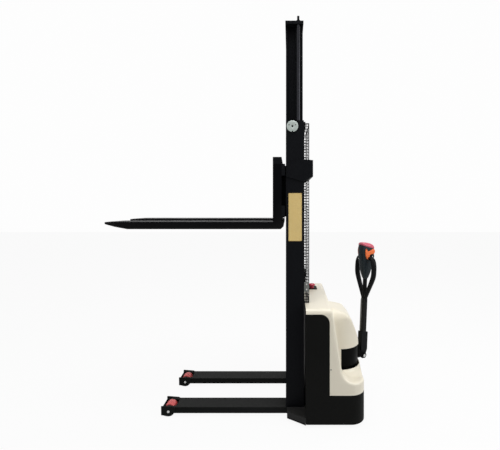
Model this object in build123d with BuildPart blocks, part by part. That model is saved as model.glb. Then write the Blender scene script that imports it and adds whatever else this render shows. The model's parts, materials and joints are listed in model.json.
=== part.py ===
"""Walk-behind electric pallet stacker: a two-stage mast with forks that straddle low support legs,
a battery and drive body behind the mast, and a steered drive wheel with a tiller.
Millimetres. +X runs from the forks to the tiller end, +Z is up, and the floor is Z = 0.
The origin is on the floor, under the middle of the whole machine. Left is -Y, seen by the operator."""

import os
from math import cos, radians, sin

from build123d import *

# Forks and lift
overall_length = 1924.0
fork_length = 1172.0
fork_width = 170.0
fork_spread = 570.0  # over both forks
fork_lowered_height = 90.0
fork_side_depth = 50.0
fork_wall = 8.0
fork_taper = 180.0  # where the sides rise to the nose
fork_nose_depth = 12.0
fork_nose_drop = 5.0
fork_nose_width = 104.0
fork_edge_radius = 6.0
heel_chamfer = 20.0
heel_inset = 9.0  # from the carriage plate's rear
lift_at_rest = 627.0  # of the inner mast; the forks rise twice as far
running_gap = 5.0  # between pieces that pass each other
fork_tip_x = -overall_length / 2
fork_face_x = fork_tip_x + fork_length
fork_centre_y = (fork_spread - fork_width) / 2
fork_top_z = fork_lowered_height + 2 * lift_at_rest
fork_low_z = fork_top_z - fork_side_depth

# Mast rails
shank_depth = 60.0
carriage_plate_depth = 23.0
mast_front_x = fork_face_x + shank_depth + carriage_plate_depth + running_gap + 1
outer_rail_depth = 124.0
outer_flange = 13.0
outer_web = 8.0
outer_rail_face_y = 258.0
outer_flange_tip_y = 215.0
outer_rail_height = 1977.0
inner_rail_depth = 118.0
inner_flange = 10.0
inner_web = 8.0
inner_web_y = 181.0
inner_inboard_y = 150.0
inner_outboard_y = outer_flange_tip_y - running_gap
inner_rail_length = outer_rail_height + 23.0
inner_rail_ground_gap = 20.0  # over the base when the mast is down
inner_top_plate_thickness = 22.0
inner_cross_height = 80.0
cross_plate = 12.0
mast_rear_x = mast_front_x + outer_rail_depth
inner_rear_x = mast_front_x + inner_rail_depth

# Legs and load wheels
leg_width = 120.0
leg_depth = 36.0
leg_ground_gap = 30.0
leg_overhang = 48.0  # ahead of the load wheel's axle
load_axle_reach = 809.0  # ahead of the mast
load_wheel_diameter = 74.0
load_wheel_width = 66.0
load_axle_diameter = 20.0
load_axle_end = 2.0
leg_cheek = 20.0
lobe_radius = 33.0
wheel_slot_gap = 12.0
leg_tip_radius = 12.0
leg_top_z = leg_ground_gap + leg_depth
load_axle_x = mast_front_x - load_axle_reach
leg_tip_x = load_axle_x - leg_overhang
base_front_x = mast_front_x + 8.0
base_front_half_width = 310.0

outer_rail_top_z = leg_top_z + outer_rail_height
inner_bottom_z = leg_top_z + inner_rail_ground_gap + lift_at_rest
inner_top_z = inner_bottom_z + inner_rail_length

# Rollers, cylinders and chains
roller_play = 1.0
carriage_roller_width = 20.0
carriage_roller_pin_radius = 14.0
top_roller_radius = 27.0
top_roller_width = 24.0
top_roller_pin_radius = 12.0
top_roller_drop = 42.0
roller_disc_radius = 39.5
roller_disc_thickness = 6.0
roller_disc_back = 6.0
foot_roller_radius = 23.0
foot_roller_width = 26.0
foot_roller_pin_radius = 9.0
foot_roller_rise = 40.0
rib_thickness = 8.0
cylinder_back = 86.0  # behind the mast's front face
cylinder_y = 231.0
cylinder_radius = 17.0
cylinder_length = outer_rail_height - 113.0
cylinder_floor = 20.0
rod_radius = 12.5
rod_play = 0.5
rod_end_gap = 36.0
gland_radius = 20.0
gland_height = 26.0
pulley_back = 60.0
pulley_y = 75.0
pulley_radius = 36.0
pulley_width = 20.0
pulley_pin_radius = 8.0
pulley_drop = 75.0
pulley_lug = 6.0
chain_width = 16.0
chain_thickness = 10.0
front_anchor_rise = 76.0  # over the carriage's lower edge
rear_anchor_drop = 353.0  # below the outer rails' top
anchor_height = 20.0
anchor_width = 24.0
carriage_roller_radius = (inner_rail_depth - 2 * inner_flange) / 2 - roller_play
carriage_roller_x = mast_front_x + inner_rail_depth / 2
top_roller_x = mast_front_x + inner_flange + 2 * roller_play + top_roller_radius
foot_roller_x = mast_front_x + outer_flange + roller_play + foot_roller_radius
cylinder_x = mast_front_x + cylinder_back
pulley_x = mast_front_x + pulley_back
pulley_z = inner_top_z - pulley_drop
rear_anchor_z = outer_rail_top_z - rear_anchor_drop

# Carriage
carriage_height = 366.0
carriage_beam = 80.0
carriage_over_fork = 30.0
carriage_post_width = 26.0
arm_thickness = 8.0
top_bar_height = 47.0
carriage_bottom_z = fork_top_z + carriage_over_fork
shank_top_z = carriage_bottom_z + carriage_height
front_anchor_z = carriage_bottom_z + front_anchor_rise

# Body
body_width = 776.0
body_length = 397.0
mast_body_gap = 9.0
skirt_ground_gap = 24.0
skirt_height = 191.0
skirt_wall = 12.0
skirt_corner = 100.0
skirt_foot_radius = 14.0
deck_thickness = 8.0
cover_wall = 5.0
cover_height = 562.0
cover_top_length = body_length * 0.433
cover_length = body_length * 0.584
cover_split = 10.0
shelf_height = 76.0
shelf_fillet = 98.0
lean_start_height = 176.0
cover_edge_radius = 34.0
panel_length = body_length * 0.388
panel_height = 528.0
panel_corner = 58.0
panel_thickness = 12.0
panel_seam = 1.0
hump_radius = 145.0
hump_height = 523.0
hump_shoulder = 88.0
slot_rise = 113.0
slot_height = 140.0
body_front_x = mast_rear_x + mast_body_gap
body_rear_x = body_front_x + body_length
skirt_top_z = skirt_ground_gap + skirt_height
deck_top_z = skirt_top_z + deck_thickness
cover_top_z = skirt_top_z + cover_height
slot_bottom_z = skirt_top_z + slot_rise
slot_top_z = slot_bottom_z + slot_height
half_body = body_width / 2

# Drive unit, steering and tiller
steer_inset = 150.0  # ahead of the body's rear
steer_side = 120.0  # left of the middle
steer_at_rest = 25.0  # degrees, turned away from straight ahead
drive_wheel_diameter = 210.0
drive_wheel_width = 70.0
drive_axle_diameter = 30.0
drive_cheek = 10.0
drive_cheek_length = 60.0
hub_radius = 95.0
hub_flange = 8.0
ring_width = 18.0
ring_height = 14.0
motor_radius = 62.0
drum_play = 7.0
pivot_reach = 204.0
pivot_rise = 11.0
pivot_pin_diameter = 16.0
pin_play = 0.05
lug_thickness = 10.0
lug_radius = 19.0
tiller_lean = 2.8  # degrees, the whole tiller at rest
shaft_reach = 211.0
shaft_width = 44.0
shaft_depth = 32.0
foot_width = 46.0
foot_depth = 54.0
foot_height = 191.0
foot_drop = 25.0
shaft_length = 248.0
loop_rise = 166.0
loop_half_width = 100.0
loop_tube = 32.0
loop_bend = 30.0
head_half_width = 55.0
head_depth = 82.0
head_height = 227.0
head_neck_depth = 30.0
head_start = 151.0  # over the loop's foot
cap_height = 36.0
throttle_height = 46.0
throttle_length = 82.0
throttle_thickness = 16.0
throttle_drop = 70.0
steer_x = body_rear_x - steer_inset
steer_y = -steer_side
drum_radius = hump_radius - cover_wall - drum_play
drum_bottom_z = slot_bottom_z + running_gap
drum_top_z = slot_top_z - running_gap
pivot_z = slot_bottom_z + pivot_rise
foot_bottom_z = pivot_z - foot_drop
foot_top_z = foot_bottom_z + foot_height
loop_start_z = foot_top_z + shaft_length
head_bottom_z = loop_start_z + head_start
head_top_z = head_bottom_z + head_height

# Castor
castor_inset = 111.0
castor_side_inset = 158.0
castor_wheel_diameter = 115.0
castor_wheel_width = 55.0
castor_trail = 30.0
castor_pin_diameter = 16.0
castor_plate = 90.0
castor_plate_drop = 65.0
castor_fork_thickness = 8.0
castor_crown_radius = 40.0
castor_crown = 24.0
castor_x = body_rear_x - castor_inset
castor_y = half_body - castor_side_inset

# Guard
guard_depth = 38.0
guard_half_width = 239.0
guard_cover_gap = 3.0
guard_top_drop = 17.0
guard_bar = 8.0
guard_bar_depth = 4.0
guard_pitch = 20.0
guard_wire = 5.0
guard_upright_pitch = 119.5
guard_sheet = 1.2  # half of the wires' thickness
guard_mid_back = 16.0

sides = (("left", -1), ("right", 1))
steer_cos = cos(radians(steer_at_rest))
steer_sin = sin(radians(steer_at_rest))
steer_point = (steer_x, steer_y, 0)
outward = (steer_cos, steer_sin, 0)
tiller_side = Plane(origin=steer_point, x_dir=outward, z_dir=(steer_sin, -steer_cos, 0))
tiller_plan = Plane(origin=steer_point, x_dir=outward, z_dir=(0, 0, 1))
tiller_front = Plane(origin=steer_point, x_dir=(-steer_sin, steer_cos, 0), z_dir=outward)

os.makedirs("parts", exist_ok=True)


def save(part, label):
    part.label = label
    export_step(part, f"parts/{label}.step")


def block(x0, x1, y0, y1, z0, z1, mode=Mode.ADD):
    with Locations(((x0 + x1) / 2, (y0 + y1) / 2, (z0 + z1) / 2)):
        Box(abs(x1 - x0), abs(y1 - y0), abs(z1 - z0), mode=mode)


def across(x, y, z, radius, length, mode=Mode.ADD):
    with Locations(Location((x, y, z), (90, 0, 0))):
        Cylinder(radius, length, mode=mode)


def upright(x, y, z0, z1, radius, mode=Mode.ADD):
    with Locations((x, y, (z0 + z1) / 2)):
        Cylinder(radius, z1 - z0, mode=mode)


# Legs with their axles, and the load wheels
load_z = load_wheel_diameter / 2
slot_half = load_wheel_diameter / 2 + wheel_slot_gap
for side, sign in sides:
    y = sign * fork_centre_y
    with BuildPart() as leg:
        block(leg_tip_x, base_front_x, y - leg_width / 2, y + leg_width / 2, leg_ground_gap, leg_top_z)
        fillet(leg.edges().filter_by(Axis.Y).group_by(Axis.X)[0], leg_tip_radius)
        across(load_axle_x, y, load_z, lobe_radius, leg_width)
        slot_y = leg_width / 2 - leg_cheek
        slot_rear_x = load_axle_x + slot_half
        block(leg_tip_x + 6, slot_rear_x, y - slot_y, y + slot_y, 0, leg_top_z + 20, Mode.SUBTRACT)
        block(leg_tip_x, leg_tip_x + 6, y - slot_y, y + slot_y, leg_ground_gap, leg_top_z - leg_tip_radius)
        across(load_axle_x, y, load_z, load_axle_diameter / 2, leg_width + 2 * load_axle_end)
    save(leg.part, f"leg_{side}")
    with BuildPart() as load_wheel:
        across(load_axle_x, y, load_z, load_wheel_diameter / 2, load_wheel_width)
        chamfer(load_wheel.edges().filter_by(GeomType.CIRCLE), 4)
        across(load_axle_x, y, load_z, load_axle_diameter / 2 + pin_play, load_wheel_width + 2, Mode.SUBTRACT)
    save(load_wheel.part, f"load_wheel_{side}")

# Base plate under the mast, spreading to the body
with BuildPart() as mast_base:
    with BuildSketch(Plane.XY.offset(leg_ground_gap)):
        with BuildLine():
            Polyline(
                (base_front_x, -base_front_half_width), (base_front_x, base_front_half_width),
                (body_front_x, half_body), (body_front_x, -half_body), close=True,
            )
        make_face()
    extrude(amount=leg_depth)
save(mast_base.part, "mast_base")

# Outer mast
for side, sign in sides:
    with BuildPart() as outer_rail:
        face = sign * outer_rail_face_y
        block(mast_front_x, mast_rear_x, face - sign * outer_web, face, leg_top_z, outer_rail_top_z)
        for x in (mast_front_x, mast_rear_x - outer_flange):
            block(x, x + outer_flange, sign * outer_flange_tip_y, face, leg_top_z, outer_rail_top_z)
    save(outer_rail.part, f"outer_rail_{side}")

top_roller_z = outer_rail_top_z - top_roller_drop
roller_in = inner_web_y + inner_web / 2 + 3
stub = outer_rail_face_y - outer_web - roller_in
with BuildPart() as top_rollers:
    for side, sign in sides:
        roller_y = sign * (roller_in + top_roller_width / 2)
        across(top_roller_x, roller_y, top_roller_z, top_roller_radius, top_roller_width)
        across(top_roller_x, sign * (roller_in + stub / 2), top_roller_z, top_roller_pin_radius, stub)
        across(
            top_roller_x + roller_disc_back, sign * (outer_rail_face_y + roller_disc_thickness / 2),
            top_roller_z, roller_disc_radius, roller_disc_thickness,
        )
save(top_rollers.part, "top_rollers")

guard_bottom_z = cover_top_z + guard_cover_gap
guard_top_z = outer_rail_top_z - guard_top_drop
cross_half_width = guard_half_width - guard_bar_depth - 5
cross_members = (
    (leg_top_z, leg_top_z + 120), (guard_bottom_z + 130, guard_bottom_z + 210),
    (rear_anchor_z - 25, rear_anchor_z + 60), (outer_rail_top_z - 58, outer_rail_top_z - 5),
)
with BuildPart() as outer_cross:
    for z0, z1 in cross_members:
        depth = cross_plate if z0 > cover_top_z else min(cross_plate, mast_body_gap - 1)
        block(mast_rear_x, mast_rear_x + depth, -cross_half_width, cross_half_width, z0, z1)
    for sign in (-1, 1):
        block(
            pulley_x + pulley_radius - anchor_height / 2, mast_rear_x, sign * pulley_y - anchor_width / 2,
            sign * pulley_y + anchor_width / 2, rear_anchor_z, rear_anchor_z + anchor_height,
        )
save(outer_cross.part, "outer_cross_members")

# Tie behind the mast, standing clear of the guard
tie_rear_x = mast_rear_x + 63.0
tie_back = 16.0
tie_cheek = 8.0
tie_low_z = outer_rail_top_z - 389.0
tie_front_height = 88.0
tie_rear_height = 113.0
tie_crown = 119.0
tie_belly = 34.0
tie_face_y = outer_rail_face_y + tie_cheek
with BuildPart() as tie:
    for side, sign in sides:
        with BuildSketch(Plane.XZ.offset(-sign * outer_rail_face_y)):
            with BuildLine():
                Polyline(
                    (mast_rear_x + 6, tie_low_z + tie_crown), (tie_rear_x, tie_low_z + tie_rear_height),
                    (tie_rear_x, tie_low_z), (mast_rear_x, tie_low_z - tie_belly), (mast_front_x, tie_low_z),
                    (mast_front_x, tie_low_z + tie_front_height),
                )
                ThreePointArc(
                    (mast_front_x, tie_low_z + tie_front_height),
                    (mast_front_x + outer_rail_depth * 0.55, tie_low_z + tie_crown - 8),
                    (mast_rear_x + 6, tie_low_z + tie_crown),
                )
            make_face()
        extrude(amount=-sign * tie_cheek)
    block(tie_rear_x - tie_back, tie_rear_x, -tie_face_y, tie_face_y, tie_low_z, tie_low_z + tie_rear_height)
save(tie.part, "mast_tie")

# Lift cylinders: tubes on the base, rods under the inner mast's top plate
cylinder_top_z = leg_top_z + cylinder_length
for side, sign in sides:
    y = sign * cylinder_y
    with BuildPart() as cylinder:
        upright(cylinder_x, y, leg_top_z, cylinder_top_z, cylinder_radius)
        bore_floor_z = leg_top_z + cylinder_floor
        upright(cylinder_x, y, bore_floor_z, cylinder_top_z + 1, rod_radius + rod_play, Mode.SUBTRACT)
    save(cylinder.part, f"cylinder_tube_{side}")
    with BuildPart() as rod:
        upright(cylinder_x, y, bore_floor_z + rod_end_gap + lift_at_rest, inner_top_z, rod_radius)
    save(rod.part, f"cylinder_rod_{side}")

# Mesh guard behind the mast: a flat-bar frame with a few upright strips and many level ones
guard_rear_x = mast_rear_x + guard_depth
uprights = round(2 * guard_half_width / guard_upright_pitch)
rows = round((guard_top_z - guard_bottom_z) / guard_pitch)
guard_height = guard_top_z - guard_bottom_z
guard_middle_z = (guard_bottom_z + guard_top_z) / 2
side_y = guard_half_width - guard_bar_depth / 2
with BuildPart() as guard:
    with Locations(*[
        (guard_rear_x - guard_bar_depth / 2, 0, z)
        for z in (guard_bottom_z + guard_bar / 2, guard_top_z - guard_bar / 2)
    ]):
        Box(guard_bar_depth, 2 * guard_half_width, guard_bar)
    with Locations(*[
        (x, sign * side_y, guard_middle_z)
        for side, sign in sides
        for x in (mast_rear_x + guard_bar_depth / 2, guard_rear_x - guard_bar_depth / 2)
    ]):
        Box(guard_bar_depth, guard_bar_depth, guard_height)
    with Locations(*[
        (mast_rear_x + guard_depth / 2, sign * side_y, z)
        for side, sign in sides for z in (guard_bottom_z + guard_bar / 2, guard_top_z - guard_bar / 2)
    ]):
        Box(guard_depth, guard_bar_depth, guard_bar)
    with Locations(*[
        (guard_rear_x - guard_sheet / 2, (2 * i / uprights - 1) * guard_half_width, guard_middle_z)
        for i in range(1, uprights)
    ]):
        Box(guard_sheet, guard_wire, guard_height)
    with Locations(*[
        (mast_rear_x + guard_mid_back, sign * (guard_half_width - guard_sheet / 2), guard_middle_z)
        for side, sign in sides
    ]):
        Box(guard_wire, guard_sheet, guard_height)
    levels = [guard_bottom_z + i * guard_height / rows for i in range(1, rows)]
    with Locations(*[(guard_rear_x - guard_sheet * 1.5, 0, z) for z in levels]):
        Box(guard_sheet, 2 * guard_half_width, guard_wire)
    with Locations(*[
        (mast_rear_x + guard_depth / 2, sign * (guard_half_width - guard_sheet * 1.5), z)
        for side, sign in sides for z in levels
    ]):
        Box(guard_depth, guard_sheet, guard_wire)
save(guard.part, "mesh_guard")

# Skirt and deck
body_middle_x = (body_front_x + body_rear_x) / 2
with BuildPart() as skirt:
    with BuildSketch(Plane.XY.offset(skirt_ground_gap)):
        with Locations((body_middle_x, 0)):
            Rectangle(body_length, body_width)
        fillet(vertices().group_by(Axis.X)[-1], skirt_corner)
    extrude(amount=skirt_height)
    fillet(skirt.faces().sort_by(Axis.Z)[0].edges().group_by(Axis.X)[1:], skirt_foot_radius)
    with BuildSketch(Plane.XY.offset(skirt_ground_gap - 1)):
        with Locations((body_middle_x, 0)):
            Rectangle(body_length - 2 * skirt_wall, body_width - 2 * skirt_wall)
        fillet(vertices().group_by(Axis.X)[-1], skirt_corner - skirt_wall)
    extrude(amount=skirt_height + 2, mode=Mode.SUBTRACT)
save(skirt.part, "skirt")

deck_inset = cover_wall + 1
deck_hole_radius = hub_radius + running_gap
ring_top_z = deck_top_z + ring_height
with BuildPart() as deck:
    with BuildSketch(Plane.XY.offset(skirt_top_z)):
        with Locations((body_middle_x, 0)):
            Rectangle(body_length - 2 * deck_inset, body_width - 4 * deck_inset)
        fillet(vertices().group_by(Axis.X)[-1], skirt_corner - deck_inset)
        with Locations((steer_x, steer_y)):
            Circle(deck_hole_radius, mode=Mode.SUBTRACT)
    extrude(amount=deck_thickness)
    with BuildSketch(Plane.XY.offset(deck_top_z)):
        with Locations((steer_x, steer_y)):
            Circle(deck_hole_radius + ring_width)
            Circle(deck_hole_radius, mode=Mode.SUBTRACT)
    extrude(amount=ring_height)
save(deck.part, "deck")


def side_profile(inset):
    """The cover's outline from the side, in X and Z, drawn in by an inset with its foot left open."""
    foot_z = skirt_top_z - (inset + 1 if inset else 0)
    rear_x = body_front_x + cover_length
    shelf_z = skirt_top_z + shelf_height
    with BuildSketch() as profile:
        with BuildLine():
            Polyline(
                (body_front_x, foot_z), (body_rear_x, foot_z), (body_rear_x, shelf_z), (rear_x, shelf_z),
                (rear_x, skirt_top_z + lean_start_height), (body_front_x + cover_top_length, cover_top_z),
                (body_front_x, cover_top_z), close=True,
            )
        make_face()
        fillet(profile.vertices().sort_by_distance((rear_x, shelf_z, 0))[0], shelf_fillet)
        if inset:
            offset(amount=-inset, kind=Kind.INTERSECTION, mode=Mode.REPLACE)
    return profile.sketch


def hump_profile(inset):
    """The drive hump's outline from the side, in X and Z."""
    foot_z = skirt_top_z - (inset + 1 if inset else 0)
    crest_x = steer_x - hump_radius * 0.4
    crest_z = skirt_top_z + hump_height
    with BuildSketch() as profile:
        with BuildLine():
            Polyline(
                (steer_x + hump_radius * 0.945, slot_top_z + 32), (steer_x + hump_radius, slot_bottom_z),
                (steer_x + hump_radius, foot_z), (body_front_x, foot_z), (body_front_x, crest_z),
                (crest_x, crest_z),
            )
            ThreePointArc(
                (crest_x, crest_z), (steer_x + hump_radius * 0.53, crest_z - 77),
                (steer_x + hump_radius * 0.945, slot_top_z + 32),
            )
        make_face()
        if inset:
            offset(amount=-inset, kind=Kind.INTERSECTION, mode=Mode.REPLACE)
    return profile.sketch


def hump_plan(inset):
    """The drive hump from above: half round behind the steering axis, straight sides ahead of it."""
    radius = hump_radius - inset
    with BuildSketch() as plan:
        with Locations((steer_x, steer_y)):
            Circle(radius)
        with Locations(((body_front_x + inset + steer_x) / 2, steer_y)):
            Rectangle(steer_x - body_front_x - inset, 2 * radius)
    return plan.sketch


def hump_front(inset):
    """The drive hump's outline from behind, in Y and Z, with its round shoulders."""
    half = hump_radius - inset
    top_z = skirt_top_z + hump_height - inset
    with BuildSketch() as front:
        with Locations((steer_y, top_z / 2)):
            Rectangle(2 * half, top_z)
        fillet(front.vertices().group_by(Axis.Y)[-1], hump_shoulder - inset)
    return front.sketch


def body_form(inset):
    """The cover without its hump: the outer shape, or the space inside it when an inset is given."""
    half = half_body - inset
    with BuildPart() as form:
        with BuildSketch(Plane.XZ.offset(half)):
            add(side_profile(inset))
        extrude(amount=-2 * half)
        fillet(form.edges().filter_by(Axis.Z).group_by(Axis.X)[-1], skirt_corner - inset)
        top = form.faces().sort_by(Axis.Z)[-1].edges()
        fillet(top.filter_by(Axis.X) + top.filter_by(Axis.Y).sort_by(Axis.X)[-1:], cover_edge_radius - inset)
    return form.part


def hump_form(inset):
    """The drive hump: the outer shape, or the space inside it when an inset is given."""
    with BuildPart() as hump:
        with BuildSketch(Plane.XZ.offset(half_body)):
            add(hump_profile(inset))
        extrude(amount=-body_width)
        with BuildSketch(Plane.XY):
            add(hump_plan(inset))
        extrude(amount=cover_top_z, mode=Mode.INTERSECT)
        with BuildSketch(Plane.YZ.offset(body_front_x - 1)):
            add(hump_front(inset))
        extrude(amount=body_length, mode=Mode.INTERSECT)
    return hump.part


def panel_outline(grow):
    """The side panel's outline in X and Z, grown by a seam."""
    x0 = body_front_x - grow
    x1 = body_front_x + panel_length + grow
    z0 = skirt_top_z - grow
    z1 = skirt_top_z + panel_height + grow
    with BuildSketch() as outline:
        with BuildLine():
            Polyline((x0, z0), (x1, z0), (x1, z1), (x0, z1), close=True)
        make_face()
        fillet(outline.vertices().sort_by_distance((x1, z1, 0))[0], panel_corner + grow)
    return outline.sketch


split_x = body_front_x + cover_length + cover_split
cover_far_x = body_rear_x + 1
with BuildPart() as cover:
    add(body_form(0))
    add(body_form(cover_wall), mode=Mode.SUBTRACT)
    add(hump_form(cover_wall), mode=Mode.SUBTRACT)
with BuildPart() as front_cover:
    add(cover.part)
    block(split_x, cover_far_x, -body_width, body_width, 0, cover_top_z, Mode.SUBTRACT)
    for side, sign in sides:
        with BuildSketch(Plane.XZ.offset(-sign * (half_body - panel_thickness - panel_seam))):
            add(panel_outline(panel_seam))
        extrude(amount=-sign * 2 * panel_thickness, mode=Mode.SUBTRACT)
save(front_cover.part, "body_cover")
with BuildPart() as shelf_cover:
    add(cover.part)
    block(split_x, cover_far_x, -body_width, body_width, 0, cover_top_z, Mode.INTERSECT)
save(shelf_cover.part, "shelf_cover")
with BuildPart() as hump_cover:
    add(hump_form(0))
    add(hump_form(cover_wall), mode=Mode.SUBTRACT)
    add(body_form(0), mode=Mode.SUBTRACT)
    with BuildSketch(Plane.XY.offset(slot_bottom_z)):
        with Locations((steer_x, steer_y)):
            Circle(hump_radius + 5)
        with Locations((steer_x - hump_radius, steer_y)):
            Rectangle(2 * hump_radius, 2 * hump_radius + 20, mode=Mode.SUBTRACT)
    extrude(amount=slot_height, mode=Mode.SUBTRACT)
save(hump_cover.part, "hump_cover")

for side, sign in sides:
    with BuildPart() as panel:
        with BuildSketch(Plane.XZ.offset(-sign * (half_body - panel_thickness))):
            add(panel_outline(0))
        extrude(amount=-sign * panel_thickness)
    save(panel.part, f"side_panel_{side}")

# Battery and pump on the deck
battery_gap = 20.0
battery_head_room = 120.0
pump_length = 46.0
battery_length = body_length - steer_inset - hump_radius - battery_gap - 7.0
pump_width = 270.0
pump_height = 120.0
battery_half = half_body - panel_thickness - battery_gap
pump_rear_x = body_front_x + cover_length - cover_wall - 5
pump_y = half_body - 60.0
with BuildPart() as battery:
    block(
        body_front_x + battery_gap, body_front_x + battery_gap + battery_length, -battery_half, battery_half,
        deck_top_z, cover_top_z - battery_head_room,
    )
save(battery.part, "battery")
with BuildPart() as pump_unit:
    block(
        pump_rear_x - pump_length, pump_rear_x, pump_y - pump_width, pump_y,
        deck_top_z, deck_top_z + pump_height,
    )
save(pump_unit.part, "pump_unit")

# Emergency stop on the cover
stop_plate_length = 72.0
stop_plate_width = 100.0
stop_plate_thickness = 6.0
stop_reach = 72.0
stop_y = 175.0
stop_stem_radius = 14.0
stop_stem = 18.0
stop_head_radius = 27.0
stop_head = 16.0
stop_x = body_front_x + stop_reach
stop_z = cover_top_z + stop_plate_thickness
with BuildPart() as stop_plate:
    with Locations((stop_x + 5, stop_y + 15, cover_top_z + stop_plate_thickness / 2)):
        Box(stop_plate_length, stop_plate_width, stop_plate_thickness)
    fillet(stop_plate.edges().filter_by(Axis.Z), 10)
save(stop_plate.part, "stop_plate")
with BuildPart() as stop_button:
    upright(stop_x, stop_y, stop_z, stop_z + stop_stem, stop_stem_radius)
    upright(stop_x, stop_y, stop_z + stop_stem, stop_z + stop_stem + stop_head, stop_head_radius)
    fillet(stop_button.faces().sort_by(Axis.Z)[-1].edges(), stop_head / 2)
save(stop_button.part, "stop_button")

# Inner mast
rib_x = top_roller_x + top_roller_radius + 2 * roller_play
for side, sign in sides:
    with BuildPart() as inner_rail:
        web_in, web_out = inner_web_y - inner_web / 2, inner_web_y + inner_web / 2
        block(mast_front_x, inner_rear_x, sign * web_in, sign * web_out, inner_bottom_z, inner_top_z)
        for x in (mast_front_x, inner_rear_x - inner_flange):
            y0, y1 = sign * inner_inboard_y, sign * inner_outboard_y
            block(x, x + inner_flange, y0, y1, inner_bottom_z, inner_top_z)
        rib_out = inner_outboard_y - 3
        block(rib_x, rib_x + rib_thickness, sign * web_out, sign * rib_out, inner_bottom_z, inner_top_z)
    save(inner_rail.part, f"inner_rail_{side}")

plate_half = cylinder_y + cylinder_radius
plate_overhang = 4.0
plate_top_z = inner_top_z + inner_top_plate_thickness
stud_radius = 8.0
stud_height = 38.0
nut_width = 24.0
nut_height = 9.0
with BuildPart() as inner_top:
    block(
        mast_front_x - plate_overhang, inner_rear_x + plate_overhang, -plate_half, plate_half,
        inner_top_z, plate_top_z,
    )
    for sign in (-1, 1):
        upright(cylinder_x, sign * cylinder_y, plate_top_z - 1, plate_top_z + stud_height, stud_radius)
        with BuildSketch(Plane.XY.offset(plate_top_z)):
            with Locations((cylinder_x, sign * cylinder_y)):
                RegularPolygon(nut_width / 2, 6, major_radius=False)
        extrude(amount=nut_height)
    for sign in (-1, 1):
        for shift in (-1, 1):
            y = sign * pulley_y + shift * (pulley_width / 2 + 1 + pulley_lug / 2)
            block(
                pulley_x - pulley_radius / 2, pulley_x + pulley_radius / 2,
                y - pulley_lug / 2, y + pulley_lug / 2,
                pulley_z - 2 * pulley_pin_radius, inner_top_z,
            )
            across(pulley_x, y, pulley_z, pulley_pin_radius, pulley_lug + 2, Mode.SUBTRACT)
save(inner_top.part, "inner_top_plate")

with BuildPart() as inner_cross:
    block(
        inner_rear_x - inner_flange, inner_rear_x, -inner_inboard_y, inner_inboard_y,
        inner_bottom_z + 20, inner_bottom_z + 20 + inner_cross_height,
    )
save(inner_cross.part, "inner_cross")

with BuildPart() as pulleys:
    for side, sign in sides:
        y = sign * pulley_y
        across(pulley_x, y, pulley_z, pulley_radius - chain_thickness / 2, pulley_width)
        across(pulley_x, y, pulley_z, pulley_pin_radius, pulley_width + 2 * pulley_lug + 6)
save(pulleys.part, "chain_pulleys")

foot_roller_z = inner_bottom_z + foot_roller_rise
foot_roller_y = (outer_flange_tip_y + outer_rail_face_y - outer_web) / 2 - 1
foot_pin = foot_roller_y + foot_roller_width / 2 - inner_web_y - inner_web / 2
with BuildPart() as inner_rollers:
    for side, sign in sides:
        across(foot_roller_x, sign * foot_roller_y, foot_roller_z, foot_roller_radius, foot_roller_width)
        pin_y = inner_web_y + inner_web / 2 + foot_pin / 2
        across(foot_roller_x, sign * pin_y, foot_roller_z, foot_roller_pin_radius, foot_pin)
save(inner_rollers.part, "inner_rollers")

# Chains: a half turn over each pulley, one run down to the carriage, one to the outer mast
front_run_x = pulley_x - pulley_radius
rear_run_x = pulley_x + pulley_radius
runs = (
    ("chain_front", front_run_x, front_anchor_z),
    ("chain_rear", rear_run_x, rear_anchor_z + anchor_height),
)
for label, x, z0 in runs:
    with BuildPart() as chain_run:
        for side, sign in sides:
            y0 = sign * pulley_y - chain_width / 2
            block(x - chain_thickness / 2, x + chain_thickness / 2, y0, y0 + chain_width, z0, pulley_z)
    save(chain_run.part, label)
with BuildPart() as wraps:
    for side, sign in sides:
        with BuildSketch(Plane.XZ.offset(-sign * pulley_y - chain_width / 2)):
            with Locations((pulley_x, pulley_z)):
                Circle(pulley_radius + chain_thickness / 2)
                Circle(pulley_radius - chain_thickness / 2, mode=Mode.SUBTRACT)
            with Locations((pulley_x, pulley_z - 2 * pulley_radius)):
                Rectangle(4 * pulley_radius, 4 * pulley_radius, mode=Mode.SUBTRACT)
        extrude(amount=chain_width)
save(wraps.part, "chain_wraps")

# Carriage
plate_front_x = fork_face_x + shank_depth
plate_rear_x = plate_front_x + carriage_plate_depth
half_spread = fork_spread / 2
roller_side_y = inner_web_y - inner_web / 2 - 3
arm_out_y = inner_inboard_y - 4
arm_in_y = arm_out_y - arm_thickness
with BuildPart() as carriage_frame:
    for z0 in (carriage_bottom_z, shank_top_z - carriage_beam):
        block(plate_front_x, plate_rear_x, -half_spread, half_spread, z0, z0 + carriage_beam)
    for sign in (-1, 1):
        block(
            plate_front_x, plate_rear_x, sign * (arm_out_y - carriage_post_width), sign * arm_out_y,
            carriage_bottom_z, shank_top_z,
        )
        block(
            plate_rear_x, carriage_roller_x + 20, sign * arm_in_y, sign * arm_out_y,
            carriage_bottom_z, shank_top_z,
        )
        y0, y1 = sign * pulley_y - anchor_width / 2, sign * pulley_y + anchor_width / 2
        block(plate_front_x, plate_rear_x, y0, y1, carriage_bottom_z, front_anchor_z)
        lug_rear_x = front_run_x + chain_thickness
        block(plate_rear_x, lug_rear_x, y0, y1, front_anchor_z - anchor_height, front_anchor_z)
save(carriage_frame.part, "carriage_frame")

with BuildPart() as top_bar:
    block(fork_face_x, plate_front_x, -half_spread, half_spread, shank_top_z, shank_top_z + top_bar_height)
save(top_bar.part, "carriage_top_bar")

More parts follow.
